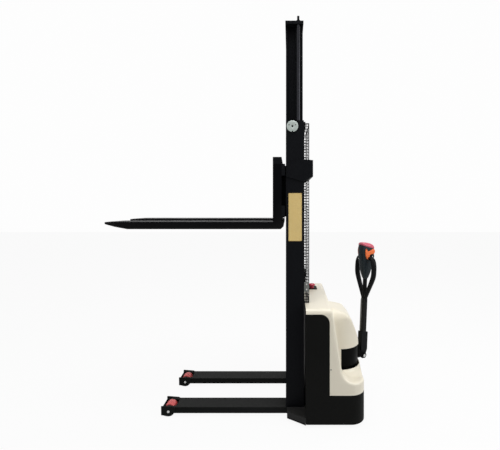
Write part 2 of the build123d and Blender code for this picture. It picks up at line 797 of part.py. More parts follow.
with BuildPart() as carriage_rollers:
    for side, sign in sides:
        for z in (carriage_bottom_z + 50, shank_top_z - 50):
            y = roller_side_y - carriage_roller_width / 2
            across(carriage_roller_x, sign * y, z, carriage_roller_radius, carriage_roller_width)
            pin = roller_side_y - arm_out_y
            across(carriage_roller_x, sign * (arm_out_y + pin / 2), z, carriage_roller_pin_radius, pin)
save(carriage_rollers.part, "carriage_rollers")

# Forks: channels open below, each with an upright shank
heel_x = plate_rear_x - heel_inset
half_nose = fork_nose_width / 2
for side, sign in sides:
    middle = sign * fork_centre_y
    y0, y1 = middle - fork_width / 2, middle + fork_width / 2
    with BuildPart() as fork:
        with BuildSketch(Plane.XZ.offset(-y0)):
            with BuildLine():
                Polyline(
                    (fork_tip_x, fork_top_z - fork_nose_drop - fork_nose_depth),
                    (fork_tip_x + fork_taper, fork_low_z), (heel_x - heel_chamfer, fork_low_z),
                    (heel_x, fork_low_z + heel_chamfer), (heel_x, fork_top_z),
                    (fork_tip_x + fork_taper / 2, fork_top_z), (fork_tip_x, fork_top_z - fork_nose_drop),
                    close=True,
                )
            make_face()
        extrude(amount=-fork_width)
        fillet(fork.edges().filter_by(Axis.X).group_by(Axis.Z)[-1], fork_edge_radius)
        with BuildSketch(Plane.XY.offset(fork_low_z)):
            with BuildLine():
                Polyline(
                    (fork_tip_x + 14, middle - half_nose), (fork_tip_x, middle - half_nose + 16),
                    (fork_tip_x, middle + half_nose - 16), (fork_tip_x + 14, middle + half_nose),
                    (fork_tip_x + 96, y1), (heel_x, y1), (heel_x, y0), (fork_tip_x + 96, y0), close=True,
                )
            make_face()
        extrude(amount=fork_side_depth, mode=Mode.INTERSECT)
        block(
            fork_tip_x + 115, heel_x, y0 + fork_wall, y1 - fork_wall,
            fork_low_z - 10, fork_top_z - fork_wall, Mode.SUBTRACT,
        )
        block(fork_face_x, plate_front_x, y0, y1, fork_top_z - fork_wall, shank_top_z)
    save(fork.part, f"fork_{side}")

# Steered drive unit
axle_z = drive_wheel_diameter / 2
hub_bottom_z = drive_wheel_diameter + 6
wheel_plane = Plane(origin=(steer_x, steer_y, axle_z), x_dir=outward, z_dir=(steer_sin, -steer_cos, 0))
cheek_y = drive_wheel_width / 2 + 6 + drive_cheek / 2
cheek_bottom_z = axle_z - 35
with BuildPart() as drive_frame:
    upright(steer_x, steer_y, hub_bottom_z, ring_top_z + hub_flange, hub_radius)
    upright(steer_x, steer_y, ring_top_z, ring_top_z + hub_flange, deck_hole_radius + ring_width / 2)
    with BuildSketch(tiller_plan.offset(cheek_bottom_z)):
        with Locations((0, -cheek_y), (0, cheek_y)):
            Rectangle(drive_cheek_length, drive_cheek)
    extrude(amount=hub_bottom_z - cheek_bottom_z)
    with BuildSketch(wheel_plane.offset(-cheek_y - drive_cheek / 2)):
        Circle(drive_axle_diameter / 2)
    extrude(amount=2 * cheek_y + drive_cheek)
save(drive_frame.part, "drive_frame")

with BuildPart() as drive_wheel:
    with BuildSketch(wheel_plane.offset(-drive_wheel_width / 2)):
        Circle(drive_wheel_diameter / 2)
        Circle(drive_axle_diameter / 2 + pin_play, mode=Mode.SUBTRACT)
    extrude(amount=drive_wheel_width)
save(drive_wheel.part, "drive_wheel")

with BuildPart() as drive_motor:
    upright(steer_x, steer_y, ring_top_z + hub_flange, drum_bottom_z, motor_radius)
save(drive_motor.part, "drive_motor")

lug_y = foot_width / 2 + 4
lug_root = drum_radius - 30
with BuildPart() as drum:
    upright(steer_x, steer_y, drum_bottom_z, drum_top_z, drum_radius)
    for sign in (-1, 1):
        with BuildSketch(tiller_side.offset(sign * (lug_y + lug_thickness / 2) - lug_thickness / 2)):
            with BuildLine():
                Polyline(
                    (lug_root, drum_bottom_z), (pivot_reach - 1.6 * lug_radius, drum_bottom_z),
                    (pivot_reach, pivot_z - lug_radius), (pivot_reach, pivot_z + lug_radius),
                    (lug_root, drum_bottom_z + 100), close=True,
                )
            make_face()
            with Locations((pivot_reach, pivot_z)):
                Circle(lug_radius)
        extrude(amount=lug_thickness)
    with BuildSketch(tiller_side.offset(-lug_y - lug_thickness - 2)):
        with Locations((pivot_reach, pivot_z)):
            Circle(pivot_pin_diameter / 2)
    extrude(amount=2 * (lug_y + lug_thickness + 2))
save(drum.part, "steering_drum")

# Tiller
foot_front = shaft_reach - foot_depth / 2
foot_back = shaft_reach + foot_depth / 2
pivot_point = (steer_x + pivot_reach * steer_cos, steer_y + pivot_reach * steer_sin, pivot_z)
pivot_axis = Axis(pivot_point, (-steer_sin, steer_cos, 0))
with BuildPart() as foot:
    with BuildSketch(tiller_side.offset(-foot_width / 2)):
        with BuildLine():
            Polyline(
                (pivot_reach - 16, pivot_z), (pivot_reach - 8, foot_bottom_z),
                (pivot_reach + 12, foot_bottom_z), (foot_back, pivot_z + 40), (foot_back, foot_top_z),
                (foot_front, foot_top_z),
                (foot_front, pivot_z + 70), close=True,
            )
        make_face()
        with Locations((pivot_reach, pivot_z)):
            Circle(pivot_pin_diameter / 2 + pin_play, mode=Mode.SUBTRACT)
    extrude(amount=foot_width)
save(foot.part.rotate(pivot_axis, tiller_lean), "tiller_foot")

with BuildPart() as shaft:
    with BuildSketch(tiller_plan.offset(foot_top_z)):
        with Locations((shaft_reach, 0)):
            RectangleRounded(shaft_depth, shaft_width, 6)
    extrude(amount=loop_start_z - foot_top_z)
save(shaft.part.rotate(pivot_axis, tiller_lean), "tiller_shaft")

loop_foot_y = 11.0
loop_top_z = head_top_z - 16
loop_centre = shaft_reach
with BuildPart() as loop:
    for sign in (-1, 1):
        with BuildLine(tiller_front.offset(loop_centre)) as path:
            FilletPolyline(
                (sign * loop_foot_y, loop_start_z), (sign * loop_half_width, loop_start_z + loop_rise),
                (sign * loop_half_width, loop_top_z), (sign * head_half_width, loop_top_z), radius=loop_bend,
            )
        with BuildSketch(Plane(origin=path.line @ 0, z_dir=path.line % 0)):
            Circle(loop_tube / 2)
        sweep(path=path.line)
    with BuildSketch(tiller_plan.offset(loop_start_z)):
        with Locations((shaft_reach, 0)):
            Rectangle(3 * shaft_width, 3 * shaft_width)
    extrude(amount=-loop_tube, mode=Mode.SUBTRACT)
    with BuildSketch(tiller_plan.offset(loop_start_z)):
        with Locations((shaft_reach, 0)):
            RectangleRounded(shaft_depth, shaft_width, 6)
    extrude(amount=loop_tube)
save(loop.part.rotate(pivot_axis, tiller_lean), "tiller_loop")

head_front = shaft_reach - head_depth / 2
head_back = shaft_reach + head_depth / 2
head_shoulder_z = head_bottom_z + head_height * 0.45
with BuildPart() as head:
    with BuildSketch(tiller_side.offset(-head_half_width)):
        with BuildLine():
            Polyline(
                (shaft_reach - head_neck_depth / 2, head_bottom_z),
                (shaft_reach + head_neck_depth / 2, head_bottom_z), (head_back, head_shoulder_z),
                (head_back, head_top_z), (head_front, head_top_z), (head_front, head_shoulder_z), close=True,
            )
        make_face()
    extrude(amount=2 * head_half_width)
    neck_foot_z = loop_start_z + loop_tube
    with BuildSketch(tiller_front.offset(shaft_reach - head_neck_depth / 2)):
        with BuildLine():
            Polyline(
                (-6, neck_foot_z), (6, neck_foot_z), (18, neck_foot_z + 50), (44, head_bottom_z + 1),
                (-44, head_bottom_z + 1), (-18, neck_foot_z + 50), close=True,
            )
        make_face()
    extrude(amount=head_neck_depth)
save(head.part.rotate(pivot_axis, tiller_lean), "tiller_head")

with BuildPart() as belly:
    with BuildSketch(tiller_side.offset(-head_half_width + 5)):
        with BuildLine():
            Line((head_front + 3, head_top_z), (head_back - 3, head_top_z))
            ThreePointArc(
                (head_back - 3, head_top_z), (shaft_reach, head_top_z + cap_height), (head_front + 3, head_top_z)
            )
        make_face()
    extrude(amount=2 * head_half_width - 10)
save(belly.part.rotate(pivot_axis, tiller_lean), "belly_switch")

throttle_z = head_top_z - throttle_drop
for side, sign in sides:
    with BuildPart() as throttle:
        wing_offset = head_half_width if sign < 0 else -head_half_width - throttle_thickness
        with BuildSketch(tiller_side.offset(wing_offset)):
            with Locations((shaft_reach, throttle_z)):
                SlotOverall(throttle_length, throttle_height)
        extrude(amount=throttle_thickness)
    save(throttle.part.rotate(pivot_axis, tiller_lean), f"throttle_{side}")

# Castor
castor_axle_x = castor_x + castor_trail
castor_z = castor_wheel_diameter / 2
mount_bottom_z = skirt_top_z - castor_plate_drop
crown_bottom_z = mount_bottom_z - castor_crown
with BuildPart() as castor_mount:
    with Locations((castor_x, castor_y, (mount_bottom_z + skirt_top_z) / 2)):
        Box(castor_plate, castor_plate, castor_plate_drop)
save(castor_mount.part, "castor_mount")
cheek_out = castor_wheel_width / 2 + 5 + castor_fork_thickness
with BuildPart() as castor_fork:
    upright(castor_x, castor_y, crown_bottom_z + 6, mount_bottom_z, castor_crown_radius)
    block(
        castor_x - 30, castor_x + 30, castor_y - cheek_out, castor_y + cheek_out,
        crown_bottom_z, crown_bottom_z + 6,
    )
    for sign in (-1, 1):
        cheek_offset = -cheek_out if sign > 0 else cheek_out - castor_fork_thickness
        with BuildSketch(Plane.XZ.offset(cheek_offset - castor_y)):
            with BuildLine():
                Polyline(
                    (castor_x - 30, crown_bottom_z), (castor_x + 30, crown_bottom_z),
                    (castor_axle_x + 14, castor_z), (castor_axle_x - 14, castor_z), close=True,
                )
            make_face()
            with Locations((castor_axle_x, castor_z)):
                Circle(14)
        extrude(amount=castor_fork_thickness)
    across(castor_axle_x, castor_y, castor_z, castor_pin_diameter / 2, 2 * cheek_out)
save(castor_fork.part, "castor_fork")
with BuildPart() as castor_wheel:
    across(castor_axle_x, castor_y, castor_z, castor_wheel_diameter / 2, castor_wheel_width)
    chamfer(castor_wheel.edges().filter_by(GeomType.CIRCLE), 5)
    bore_radius = castor_pin_diameter / 2 + pin_play
    across(castor_axle_x, castor_y, castor_z, bore_radius, castor_wheel_width + 2, Mode.SUBTRACT)
save(castor_wheel.part, "castor_wheel")
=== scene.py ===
import bpy
import bmesh
import json
import math
from math import radians, sin, cos, pi
from mathutils import Vector, Matrix


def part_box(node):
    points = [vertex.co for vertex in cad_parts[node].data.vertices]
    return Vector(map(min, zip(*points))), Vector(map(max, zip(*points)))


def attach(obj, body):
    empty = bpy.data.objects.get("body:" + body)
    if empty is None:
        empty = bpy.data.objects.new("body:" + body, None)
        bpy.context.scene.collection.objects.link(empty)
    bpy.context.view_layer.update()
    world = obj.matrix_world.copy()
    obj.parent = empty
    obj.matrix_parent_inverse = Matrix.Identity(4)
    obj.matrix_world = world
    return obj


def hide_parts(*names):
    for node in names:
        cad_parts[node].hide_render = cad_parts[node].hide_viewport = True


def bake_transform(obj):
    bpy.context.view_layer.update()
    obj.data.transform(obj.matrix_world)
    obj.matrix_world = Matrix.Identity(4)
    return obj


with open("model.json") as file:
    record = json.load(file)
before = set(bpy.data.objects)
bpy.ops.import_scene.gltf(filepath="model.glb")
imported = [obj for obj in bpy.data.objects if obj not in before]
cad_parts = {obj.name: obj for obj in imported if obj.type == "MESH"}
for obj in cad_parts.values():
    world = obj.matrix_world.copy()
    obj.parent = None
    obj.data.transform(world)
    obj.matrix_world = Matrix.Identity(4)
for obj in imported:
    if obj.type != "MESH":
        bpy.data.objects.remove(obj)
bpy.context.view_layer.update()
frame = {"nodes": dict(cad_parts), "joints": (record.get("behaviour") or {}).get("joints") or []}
scene = bpy.context.scene
print("stage: frame loaded,", len(frame["nodes"]), "nodes")

# the tiller's own frame: out from the steering axis, across to its far side, and up, leaned back at rest
tillerFrame = {"lean": 2.8, "shaftReach": 0.211}
joints = {j["name"]: j for j in frame["joints"]}
pivot = Vector(joints["tiller_tilt"]["pos_m"])
sideAxis = Vector(joints["tiller_tilt"]["axis"]).normalized()
outAxis = Vector((sideAxis.y, -sideAxis.x, 0))
steerCentre = Vector(joints["steer"]["pos_m"])
steerCentre.z = 0
leanTurn = (Matrix.Translation(pivot) @ Matrix.Rotation(radians(tillerFrame["lean"]), 4, sideAxis)
            @ Matrix.Translation(-pivot))


def tillerPoint(out, side, z):
    out += tillerFrame["shaftReach"]
    return leanTurn @ (steerCentre + outAxis * out + sideAxis * side + Vector((0, 0, z)))


# shader groups, each built once and used by several materials
def newGroup(name, inputs, outputs):
    group = bpy.data.node_groups.new(name, "ShaderNodeTree")
    for label, value, low, high in inputs:
        socket = group.interface.new_socket(label, in_out="INPUT", socket_type="NodeSocketFloat")
        socket.default_value, socket.min_value, socket.max_value = value, low, high
    for label in outputs:
        group.interface.new_socket(label, in_out="OUTPUT", socket_type="NodeSocketFloat")
    return group, group.nodes.new("NodeGroupInput"), group.nodes.new("NodeGroupOutput")


def feed(tree, socket, value):
    # a linked value, or a plain one
    if hasattr(value, "links"):
        tree.links.new(value, socket)
    else:
        socket.default_value = value


def mathNode(tree, operation, first, second, clamp=False):
    node = tree.nodes.new("ShaderNodeMath")
    node.operation, node.use_clamp = operation, clamp
    feed(tree, node.inputs[0], first)
    feed(tree, node.inputs[1], second)
    return node.outputs[0]


def noiseNode(tree, coordinate, scale, detail, roughness=0.55):
    node = tree.nodes.new("ShaderNodeTexNoise")
    tree.links.new(coordinate, node.inputs["Vector"])
    feed(tree, node.inputs["Scale"], scale)
    node.inputs["Detail"].default_value = detail
    node.inputs["Roughness"].default_value = roughness
    return node.outputs["Fac"]


def buildGrainGroup():
    # fine grain for bump, and a broad cloudy tone for colour and gloss
    group, entry, leave = newGroup("surfaceGrain", [("Grain Scale", 900, 1, 5000), ("Cloud Scale", 6, 0.1, 200)],
                                   ["Grain", "Cloud"])
    place = group.nodes.new("ShaderNodeTexCoord").outputs["Object"]
    fine = noiseNode(group, place, entry.outputs["Grain Scale"], 3)
    broad = noiseNode(group, place, entry.outputs["Cloud Scale"], 5, 0.6)
    group.links.new(fine, leave.inputs["Grain"])
    group.links.new(broad, leave.inputs["Cloud"])
    return group


def buildWearGroup():
    # rubbed edges: convex edges broken up by noise
    group, entry, leave = newGroup("edgeWear", [("Amount", 0.5, 0, 1), ("Patch Scale", 60, 1, 600)], ["Wear"])
    geometry = group.nodes.new("ShaderNodeNewGeometry")
    place = group.nodes.new("ShaderNodeTexCoord").outputs["Object"]
    patches = noiseNode(group, place, entry.outputs["Patch Scale"], 4, 0.65)
    ridge = mathNode(group, "SUBTRACT", geometry.outputs["Pointiness"], 0.5)
    ridge = mathNode(group, "MULTIPLY", ridge, 9.0, True)
    broken = mathNode(group, "MULTIPLY", ridge, mathNode(group, "MULTIPLY", patches, 1.6))
    group.links.new(mathNode(group, "MULTIPLY", broken, entry.outputs["Amount"], True), leave.inputs["Wear"])
    return group


def buildDustGroup():
    # thin dust, thicker on faces that look up and near the floor
    group, entry, leave = newGroup("floorDust", [("Amount", 0.3, 0, 1), ("Reach", 0.25, 0.01, 3)], ["Dust"])
    geometry = group.nodes.new("ShaderNodeNewGeometry")
    split = group.nodes.new("ShaderNodeSeparateXYZ")
    group.links.new(geometry.outputs["Normal"], split.inputs[0])
    facing = mathNode(group, "MAXIMUM", split.outputs["Z"], 0.15)
    height = group.nodes.new("ShaderNodeSeparateXYZ")
    place = group.nodes.new("ShaderNodeTexCoord").outputs["Object"]
    group.links.new(place, height.inputs[0])
    low = mathNode(group, "DIVIDE", height.outputs["Z"], entry.outputs["Reach"])
    low = mathNode(group, "SUBTRACT", 1.0, low, True)
    cloud = noiseNode(group, place, 35, 5, 0.7)
    mask = mathNode(group, "MULTIPLY", mathNode(group, "MULTIPLY", facing, low), cloud)
    group.links.new(mathNode(group, "MULTIPLY", mask, entry.outputs["Amount"], True), leave.inputs["Dust"])
    return group


grainGroup = buildGrainGroup()
wearGroup = buildWearGroup()
dustGroup = buildDustGroup()
print("stage: shader groups")

finishes = {
    "blackPaint": dict(
        shine=0.035, colour=(0.0025, 0.0028, 0.0037), cloudShift=0.25, rough=0.40, roughShift=0.10, bump=0.05,
        grainScale=700, wear=0.2, wearColour=(0.020, 0.021, 0.024), dust=0.02),
    "forkPaint": dict(
        shine=0.02, colour=(0.0024, 0.0025, 0.0032), cloudShift=0.3, rough=0.42, roughShift=0.12, bump=0.06,
        grainScale=600, wear=0.35, wearColour=(0.035, 0.034, 0.033), dust=0.02),
    "legPaint": dict(
        shine=0.035, colour=(0.0044, 0.0050, 0.0048), cloudShift=0.2, rough=0.42, roughShift=0.10, bump=0.06,
        grainScale=600, wear=0.25, wearColour=(0.028, 0.029, 0.029), dust=0.04),
    "basePaint": dict(
        shine=0.12, colour=(0.0085, 0.0088, 0.0084), cloudShift=0.25, rough=0.5, roughShift=0.12, bump=0.08,
        grainScale=500, wear=0.3, wearColour=(0.03, 0.03, 0.03), dust=0.06),
    "darkPaint": dict(
        shine=0.12, colour=(0.0070, 0.0074, 0.0080), cloudShift=0.3, rough=0.48, roughShift=0.12, bump=0.06,
        grainScale=600, wear=0.3, wearColour=(0.04, 0.04, 0.042), dust=0.08),
    "bodyPlastic": dict(
        shine=0.035, colour=(0.0044, 0.0046, 0.0042), cloudShift=0.2, rough=0.5, roughShift=0.08, bump=0.12,
        grainScale=1400, wear=0.12, wearColour=(0.02, 0.02, 0.02), dust=0.04),
    "drumPlastic": dict(
        shine=0.025, colour=(0.0028, 0.0029, 0.0029), cloudShift=0.2, rough=0.45, roughShift=0.08, bump=0.10,
        grainScale=1400, wear=0.15, wearColour=(0.02, 0.02, 0.02), dust=0.0),
    "coverPlastic": dict(
        colour=(0.725, 0.675, 0.555), cloudShift=0.035, rough=0.34, roughShift=0.06, bump=0.05, grainScale=900,
        wear=0.3, wearColour=(0.86, 0.83, 0.74), dust=0.03),
    "headPlastic": dict(
        shine=0.15, colour=(0.0125, 0.0195, 0.0240), cloudShift=0.15, rough=0.45, roughShift=0.08, bump=0.14,
        grainScale=1800, wear=0.25, wearColour=(0.05, 0.06, 0.066), dust=0.0),
    "gripPlastic": dict(
        shine=0.06, colour=(0.0042, 0.0044, 0.0048), cloudShift=0.2, rough=0.42, roughShift=0.1, bump=0.16,
        grainScale=1800, wear=0.2, wearColour=(0.03, 0.032, 0.034), dust=0.0),
    "shaftPaint": dict(
        shine=0.05, colour=(0.0045, 0.0046, 0.0046), cloudShift=0.2, rough=0.3, roughShift=0.1, bump=0.03,
        grainScale=900, wear=0.3, wearColour=(0.05, 0.05, 0.048), dust=0.0),
    # pale grey of the shaft duct, also a painted highlight of the shaft's lit inner face
    "ductGreyAndHighlight": dict(
        shine=0.4, colour=(0.085, 0.085, 0.076), cloudShift=0.2, rough=0.4, roughShift=0.1, bump=0.05, grainScale=900,
        wear=0.3, wearColour=(0.2, 0.2, 0.18), dust=0.0),
    "castGrey": dict(
        colour=(0.13, 0.14, 0.13), cloudShift=0.25, rough=0.5, roughShift=0.12, bump=0.1, grainScale=700, wear=0.35,
        wearColour=(0.3, 0.31, 0.3), dust=0.0),
    "wheelTread": dict(
        colour=(0.60, 0.088, 0.088), cloudShift=0.08, rough=0.40, roughShift=0.08, bump=0.04, grainScale=1200,
        wear=0.06, wearColour=(0.66, 0.2, 0.18), dust=0.02),
    "driveTread": dict(
        shine=0.2, colour=(0.012, 0.012, 0.013), cloudShift=0.3, rough=0.6, roughShift=0.15, bump=0.2, grainScale=900,
        wear=0.2, wearColour=(0.05, 0.05, 0.05), dust=0.2),
    "stopRed": dict(
        colour=(0.50, 0.010, 0.045), cloudShift=0.1, rough=0.25, roughShift=0.08, bump=0.02, grainScale=900, wear=0.2,
        wearColour=(0.7, 0.1, 0.13), dust=0.0),
    "bellyRed": dict(
        colour=(0.46, 0.060, 0.10), cloudShift=0.08, rough=0.3, roughShift=0.08, bump=0.03, grainScale=900, wear=0.25,
        wearColour=(0.7, 0.25, 0.3), dust=0.0),
    "throttleOrange": dict(
        colour=(0.80, 0.155, 0.03), cloudShift=0.10, rough=0.34, roughShift=0.08, bump=0.05, grainScale=1200,
        wear=0.3, wearColour=(0.95, 0.35, 0.14), dust=0.0),
    "labelGold": dict(
        colour=(0.66, 0.47, 0.155), cloudShift=0.12, rough=0.4, roughShift=0.1, bump=0.02, grainScale=500, wear=0.2,
        wearColour=(0.8, 0.68, 0.4), dust=0.0),
    "labelEdge": dict(
        colour=(0.30, 0.20, 0.055), cloudShift=0.16, rough=0.45, roughShift=0.1, bump=0.02, grainScale=500, wear=0.2,
        wearColour=(0.6, 0.48, 0.25), dust=0.0),
    "batteryCase": dict(
        shine=0.2, colour=(0.02, 0.02, 0.024), cloudShift=0.2, rough=0.6, roughShift=0.1, bump=0.15, grainScale=500,
        wear=0.2, wearColour=(0.06, 0.06, 0.06), dust=0.1),
    "whiteCap": dict(
        colour=(0.70, 0.70, 0.68), cloudShift=0.1, rough=0.4, roughShift=0.1, bump=0.03, grainScale=900, wear=0.2,
        wearColour=(0.8, 0.8, 0.8), dust=0.0),
}
metals = {
    # the chrome rods are given a near-black colour: a painted reflection of dark surroundings
    "rodSteelDarkReflection": dict(
        colour=(0.021, 0.0215, 0.025), rough=0.24, roughShift=0.10, bump=0.01, grainScale=300, cloudShift=0.15),
    "rollerSteel": dict(
        colour=(0.34, 0.38, 0.36), rough=0.42, roughShift=0.16, bump=0.05, grainScale=500, cloudShift=0.15),
    "chainSteel": dict(
        colour=(0.045, 0.045, 0.048), rough=0.4, roughShift=0.2, bump=0.08, grainScale=500, cloudShift=0.4),
    "wireSteel": dict(
        colour=(0.016, 0.016, 0.017), rough=0.5, roughShift=0.15, bump=0.03, grainScale=700, cloudShift=0.3),
    "boltZinc": dict(
        colour=(0.55, 0.55, 0.54), rough=0.35, roughShift=0.2, bump=0.03, grainScale=600, cloudShift=0.15),
}


def addGroup(tree, group, values):
    node = tree.nodes.new("ShaderNodeGroup")
    node.node_tree = group
    for label, value in values.items():
        node.inputs[label].default_value = value
    return node


# shared by all surfaces; each finish adds its own values
surfaceLook = {"cloudScale": 7, "wearScale": 70, "dustReach": 0.5, "dustColour": (0.30, 0.29, 0.27), "bumpDepth": 0.001}


def mixColour(tree, factor, first, second):
    node = tree.nodes.new("ShaderNodeMix")
    node.data_type = "RGBA"
    tree.links.new(factor, node.inputs[0])
    for index, value in ((6, first), (7, second)):
        feed(tree, node.inputs[index], value if hasattr(value, "links") else (*value, 1))
    return node.outputs[2]


def surfaceMaterial(name, look, metallic=0.0):
    material = bpy.data.materials.new(name)
    material.use_nodes = True
    tree = material.node_tree
    shader = tree.nodes["Principled BSDF"]
    shader.inputs["Metallic"].default_value = metallic
    shader.inputs["Specular IOR Level"].default_value = look.get("shine", 0.5)
    grain = addGroup(tree, grainGroup, {"Grain Scale": look["grainScale"], "Cloud Scale": surfaceLook["cloudScale"]})
    shift = look["cloudShift"]
    dark = tuple(c * (1 - shift) for c in look["colour"])
    light = tuple(min(1, c * (1 + shift)) for c in look["colour"])
    colour = mixColour(tree, grain.outputs["Cloud"], dark, light)
    if look.get("wear"):
        wear = addGroup(tree, wearGroup, {"Amount": look["wear"], "Patch Scale": surfaceLook["wearScale"]})
        colour = mixColour(tree, wear.outputs["Wear"], colour, look["wearColour"])
    if look.get("dust"):
        dust = addGroup(tree, dustGroup, {"Amount": look["dust"], "Reach": surfaceLook["dustReach"]})
        colour = mixColour(tree, dust.outputs["Dust"], colour, surfaceLook["dustColour"])
    tree.links.new(colour, shader.inputs["Base Color"])
    spread = mathNode(tree, "SUBTRACT", grain.outputs["Cloud"], 0.5)
    spread = mathNode(tree, "MULTIPLY", spread, look["roughShift"] * 2)
    tree.links.new(mathNode(tree, "ADD", spread, look["rough"], True), shader.inputs["Roughness"])
    bump = tree.nodes.new("ShaderNodeBump")
    bump.inputs["Strength"].default_value = look["bump"]
    bump.inputs["Distance"].default_value = surfaceLook["bumpDepth"]
    tree.links.new(grain.outputs["Grain"], bump.inputs["Height"])
    tree.links.new(bump.outputs["Normal"], shader.inputs["Normal"])
    return material


materials = {name: surfaceMaterial(name, look) for name, look in finishes.items()}
materials.update({name: surfaceMaterial(name, look, 1.0) for name, look in metals.items()})
print("stage: materials,", len(materials))

# finishes of the CAD nodes that stay in view
nodeFinish = {
    "blackPaint": ["outer_rail_left", "outer_rail_right", "inner_rail_left", "inner_rail_right", "inner_top_plate",
                   "inner_cross", "outer_cross_members", "mast_tie", "carriage_frame", "carriage_top_bar",
                   "cylinder_tube_left", "cylinder_tube_right"],
    "forkPaint": ["fork_left", "fork_right"],
    "legPaint": ["leg_left", "leg_right"],
    "basePaint": ["mast_base"],
    "darkPaint": ["deck", "castor_mount", "castor_fork", "drive_frame", "drive_motor", "pump_unit"],
    "bodyPlastic": ["skirt", "side_panel_left", "side_panel_right", "stop_plate"],
    "drumPlastic": ["steering_drum"],
    "coverPlastic": ["body_cover", "hump_cover", "shelf_cover"],
    "batteryCase": ["battery"],
    "rodSteelDarkReflection": ["cylinder_rod_left", "cylinder_rod_right"],
    "rollerSteel": ["top_rollers", "inner_rollers", "carriage_rollers", "chain_pulleys"],
    "chainSteel": ["chain_front", "chain_rear", "chain_wraps"],
    "wireSteel": ["mesh_guard"],
    "wheelTread": ["load_wheel_left", "load_wheel_right", "castor_wheel"],
    "driveTread": ["drive_wheel"],
    "gripPlastic": ["tiller_foot", "tiller_head", "tiller_loop"],
    "shaftPaint": ["tiller_shaft"],
    "bellyRed": ["belly_switch"],
    "stopRed": ["stop_button"],
    "throttleOrange": ["throttle_left", "throttle_right"],
}
for finish, names in nodeFinish.items():
    for name in names:
        node = frame["nodes"][name]
        for slot in node.material_slots:
            slot.material = materials[finish]
print("stage: node finishes")


def roundEdges(piece, width, segments, angle=35):
    bevel = piece.modifiers.new("edgeRound", "BEVEL")
    bevel.width, bevel.segments = width, segments
    bevel.limit_method, bevel.angle_limit = "ANGLE", radians(angle)


# small rounding that the eye expects on sheet and plate edges
edgeRounding = {
    "outer_rail_left": 0.004, "outer_rail_right": 0.004, "inner_rail_left": 0.003, "inner_rail_right": 0.003,
    "fork_left": 0.003, "fork_right": 0.003, "carriage_top_bar": 0.003, "carriage_frame": 0.002,
    "mast_tie": 0.002, "leg_left": 0.003, "leg_right": 0.003, "mast_base": 0.003,
    "side_panel_left": 0.0015, "side_panel_right": 0.0015, "stop_plate": 0.002,
}
for name, width in edgeRounding.items():
    roundEdges(frame["nodes"][name], width, 2, 40)
print("stage: edges")


# a new piece: linked, shaded, given its material and its body
def finishPiece(name, mesh, body, finish, smooth=40):
    for polygon in mesh.polygons:
        polygon.use_smooth = True
    piece = bpy.data.objects.new(name, mesh)
    scene.collection.objects.link(piece)
    mesh.materials.append(materials[finish])
    mesh.set_sharp_from_angle(angle=radians(smooth))
    if body:
        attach(piece, body)
    return piece


def meshFrom(build):
    work = bmesh.new()
    build(work)
    bmesh.ops.recalc_face_normals(work, faces=work.faces)
    mesh = bpy.data.meshes.new("mesh")
    work.to_mesh(mesh)
    work.free()
    return mesh


def addPrism(work, outline, start, push):
    # a flat outline, given as points in space, pushed along a vector
    low = [work.verts.new(Vector(p) + Vector(start)) for p in outline]
    high = [work.verts.new(v.co + Vector(push)) for v in low]
    count = len(outline)
    work.faces.new(low)
    work.faces.new(list(reversed(high)))
    for i in range(count):
        work.faces.new((low[i], low[(i + 1) % count], high[(i + 1) % count], high[i]))


def addLathe(work, centre, axis, profile, steps):
    # a turned shape: profile holds (distance along the axis, radius)
    axis = Vector(axis).normalized()
    guide = Vector((0, 0, 1)) if abs(axis.z) < 0.9 else Vector((1, 0, 0))
    first = axis.cross(guide).normalized()
    second = axis.cross(first)
    rings = []
    for along, radius in profile:
        middle = Vector(centre) + axis * along
        if radius < 1e-6:
            rings.append([work.verts.new(middle)])
            continue
        rings.append([work.verts.new(middle + (first * cos(turn) + second * sin(turn)) * radius)
                      for turn in (2 * pi * k / steps for k in range(steps))])
    for a, b in zip(rings, rings[1:]):
        for k in range(steps):
            n = (k + 1) % steps
            if len(a) == 1 and len(b) > 1:
                work.faces.new((a[0], b[n], b[k]))
            elif len(b) == 1 and len(a) > 1:
                work.faces.new((a[k], a[n], b[0]))
            elif len(a) > 1 and len(b) > 1:
                work.faces.new((a[k], a[n], b[n], b[k]))
    for ring in (rings[0], rings[-1]):
        if len(ring) > 1:
            work.faces.new(ring)


def addLoft(work, rings):
    # rings of equal point count, skinned in order and closed at both ends
    rows = [[work.verts.new(p) for p in ring] for ring in rings]
    count = len(rows[0])
    for a, b in zip(rows, rows[1:]):
        for k in range(count):
            n = (k + 1) % count
            work.faces.new((a[k], a[n], b[n], b[k]))
    work.faces.new(list(reversed(rows[0])))
    work.faces.new(rows[-1])


def smoothPath(points, steps):
    # a soft curve through the points, each point carrying a radius last
    dense = []
    count = len(points)
    for i in range(count - 1):
        p0, p1, p2, p3 = (Vector(points[max(0, min(count - 1, i + k))]) for k in (-1, 0, 1, 2))
        for k in range(steps):
            t = k / steps
            dense.append(((p1 * 2) + (p2 - p0) * t + (p0 * 2 - p1 * 5 + p2 * 4 - p3) * t * t
                          + (p1 * 3 - p0 - p2 * 3 + p3) * t * t * t) * 0.5)
    dense.append(Vector(points[-1]))
    return dense


def addTube(work, centres, radii, steps, stretch, guide):
    # a tube along centres; stretch widens it along the second direction
    rings = []
    for i, centre in enumerate(centres):
        ahead = (centres[min(i + 1, len(centres) - 1)] - centres[max(i - 1, 0)]).normalized()
        first = ahead.cross(guide).normalized()
        second = ahead.cross(first)
        turns = [2 * pi * k / steps for k in range(steps)]
        rings.append([centre + (first * cos(t) + second * sin(t) * stretch) * radii[i] for t in turns])
    addLoft(work, rings)


def pushed(outline, start, push):
    return meshFrom(lambda work: addPrism(work, outline, start, push))


def turned(centre, axis, profile, steps):
    return meshFrom(lambda work: addLathe(work, centre, axis, profile, steps))


def lofted(rings):
    return meshFrom(lambda work: addLoft(work, rings))


# flat outlines put in space: seen from the side, from above and from the front
def fromSide(outline):
    return [(x, 0, z) for x, z in outline]


def fromAbove(outline):
    return [(x, y, 0) for x, y in outline]


def fromFront(outline):
    return [(0, y, z) for y, z in outline]


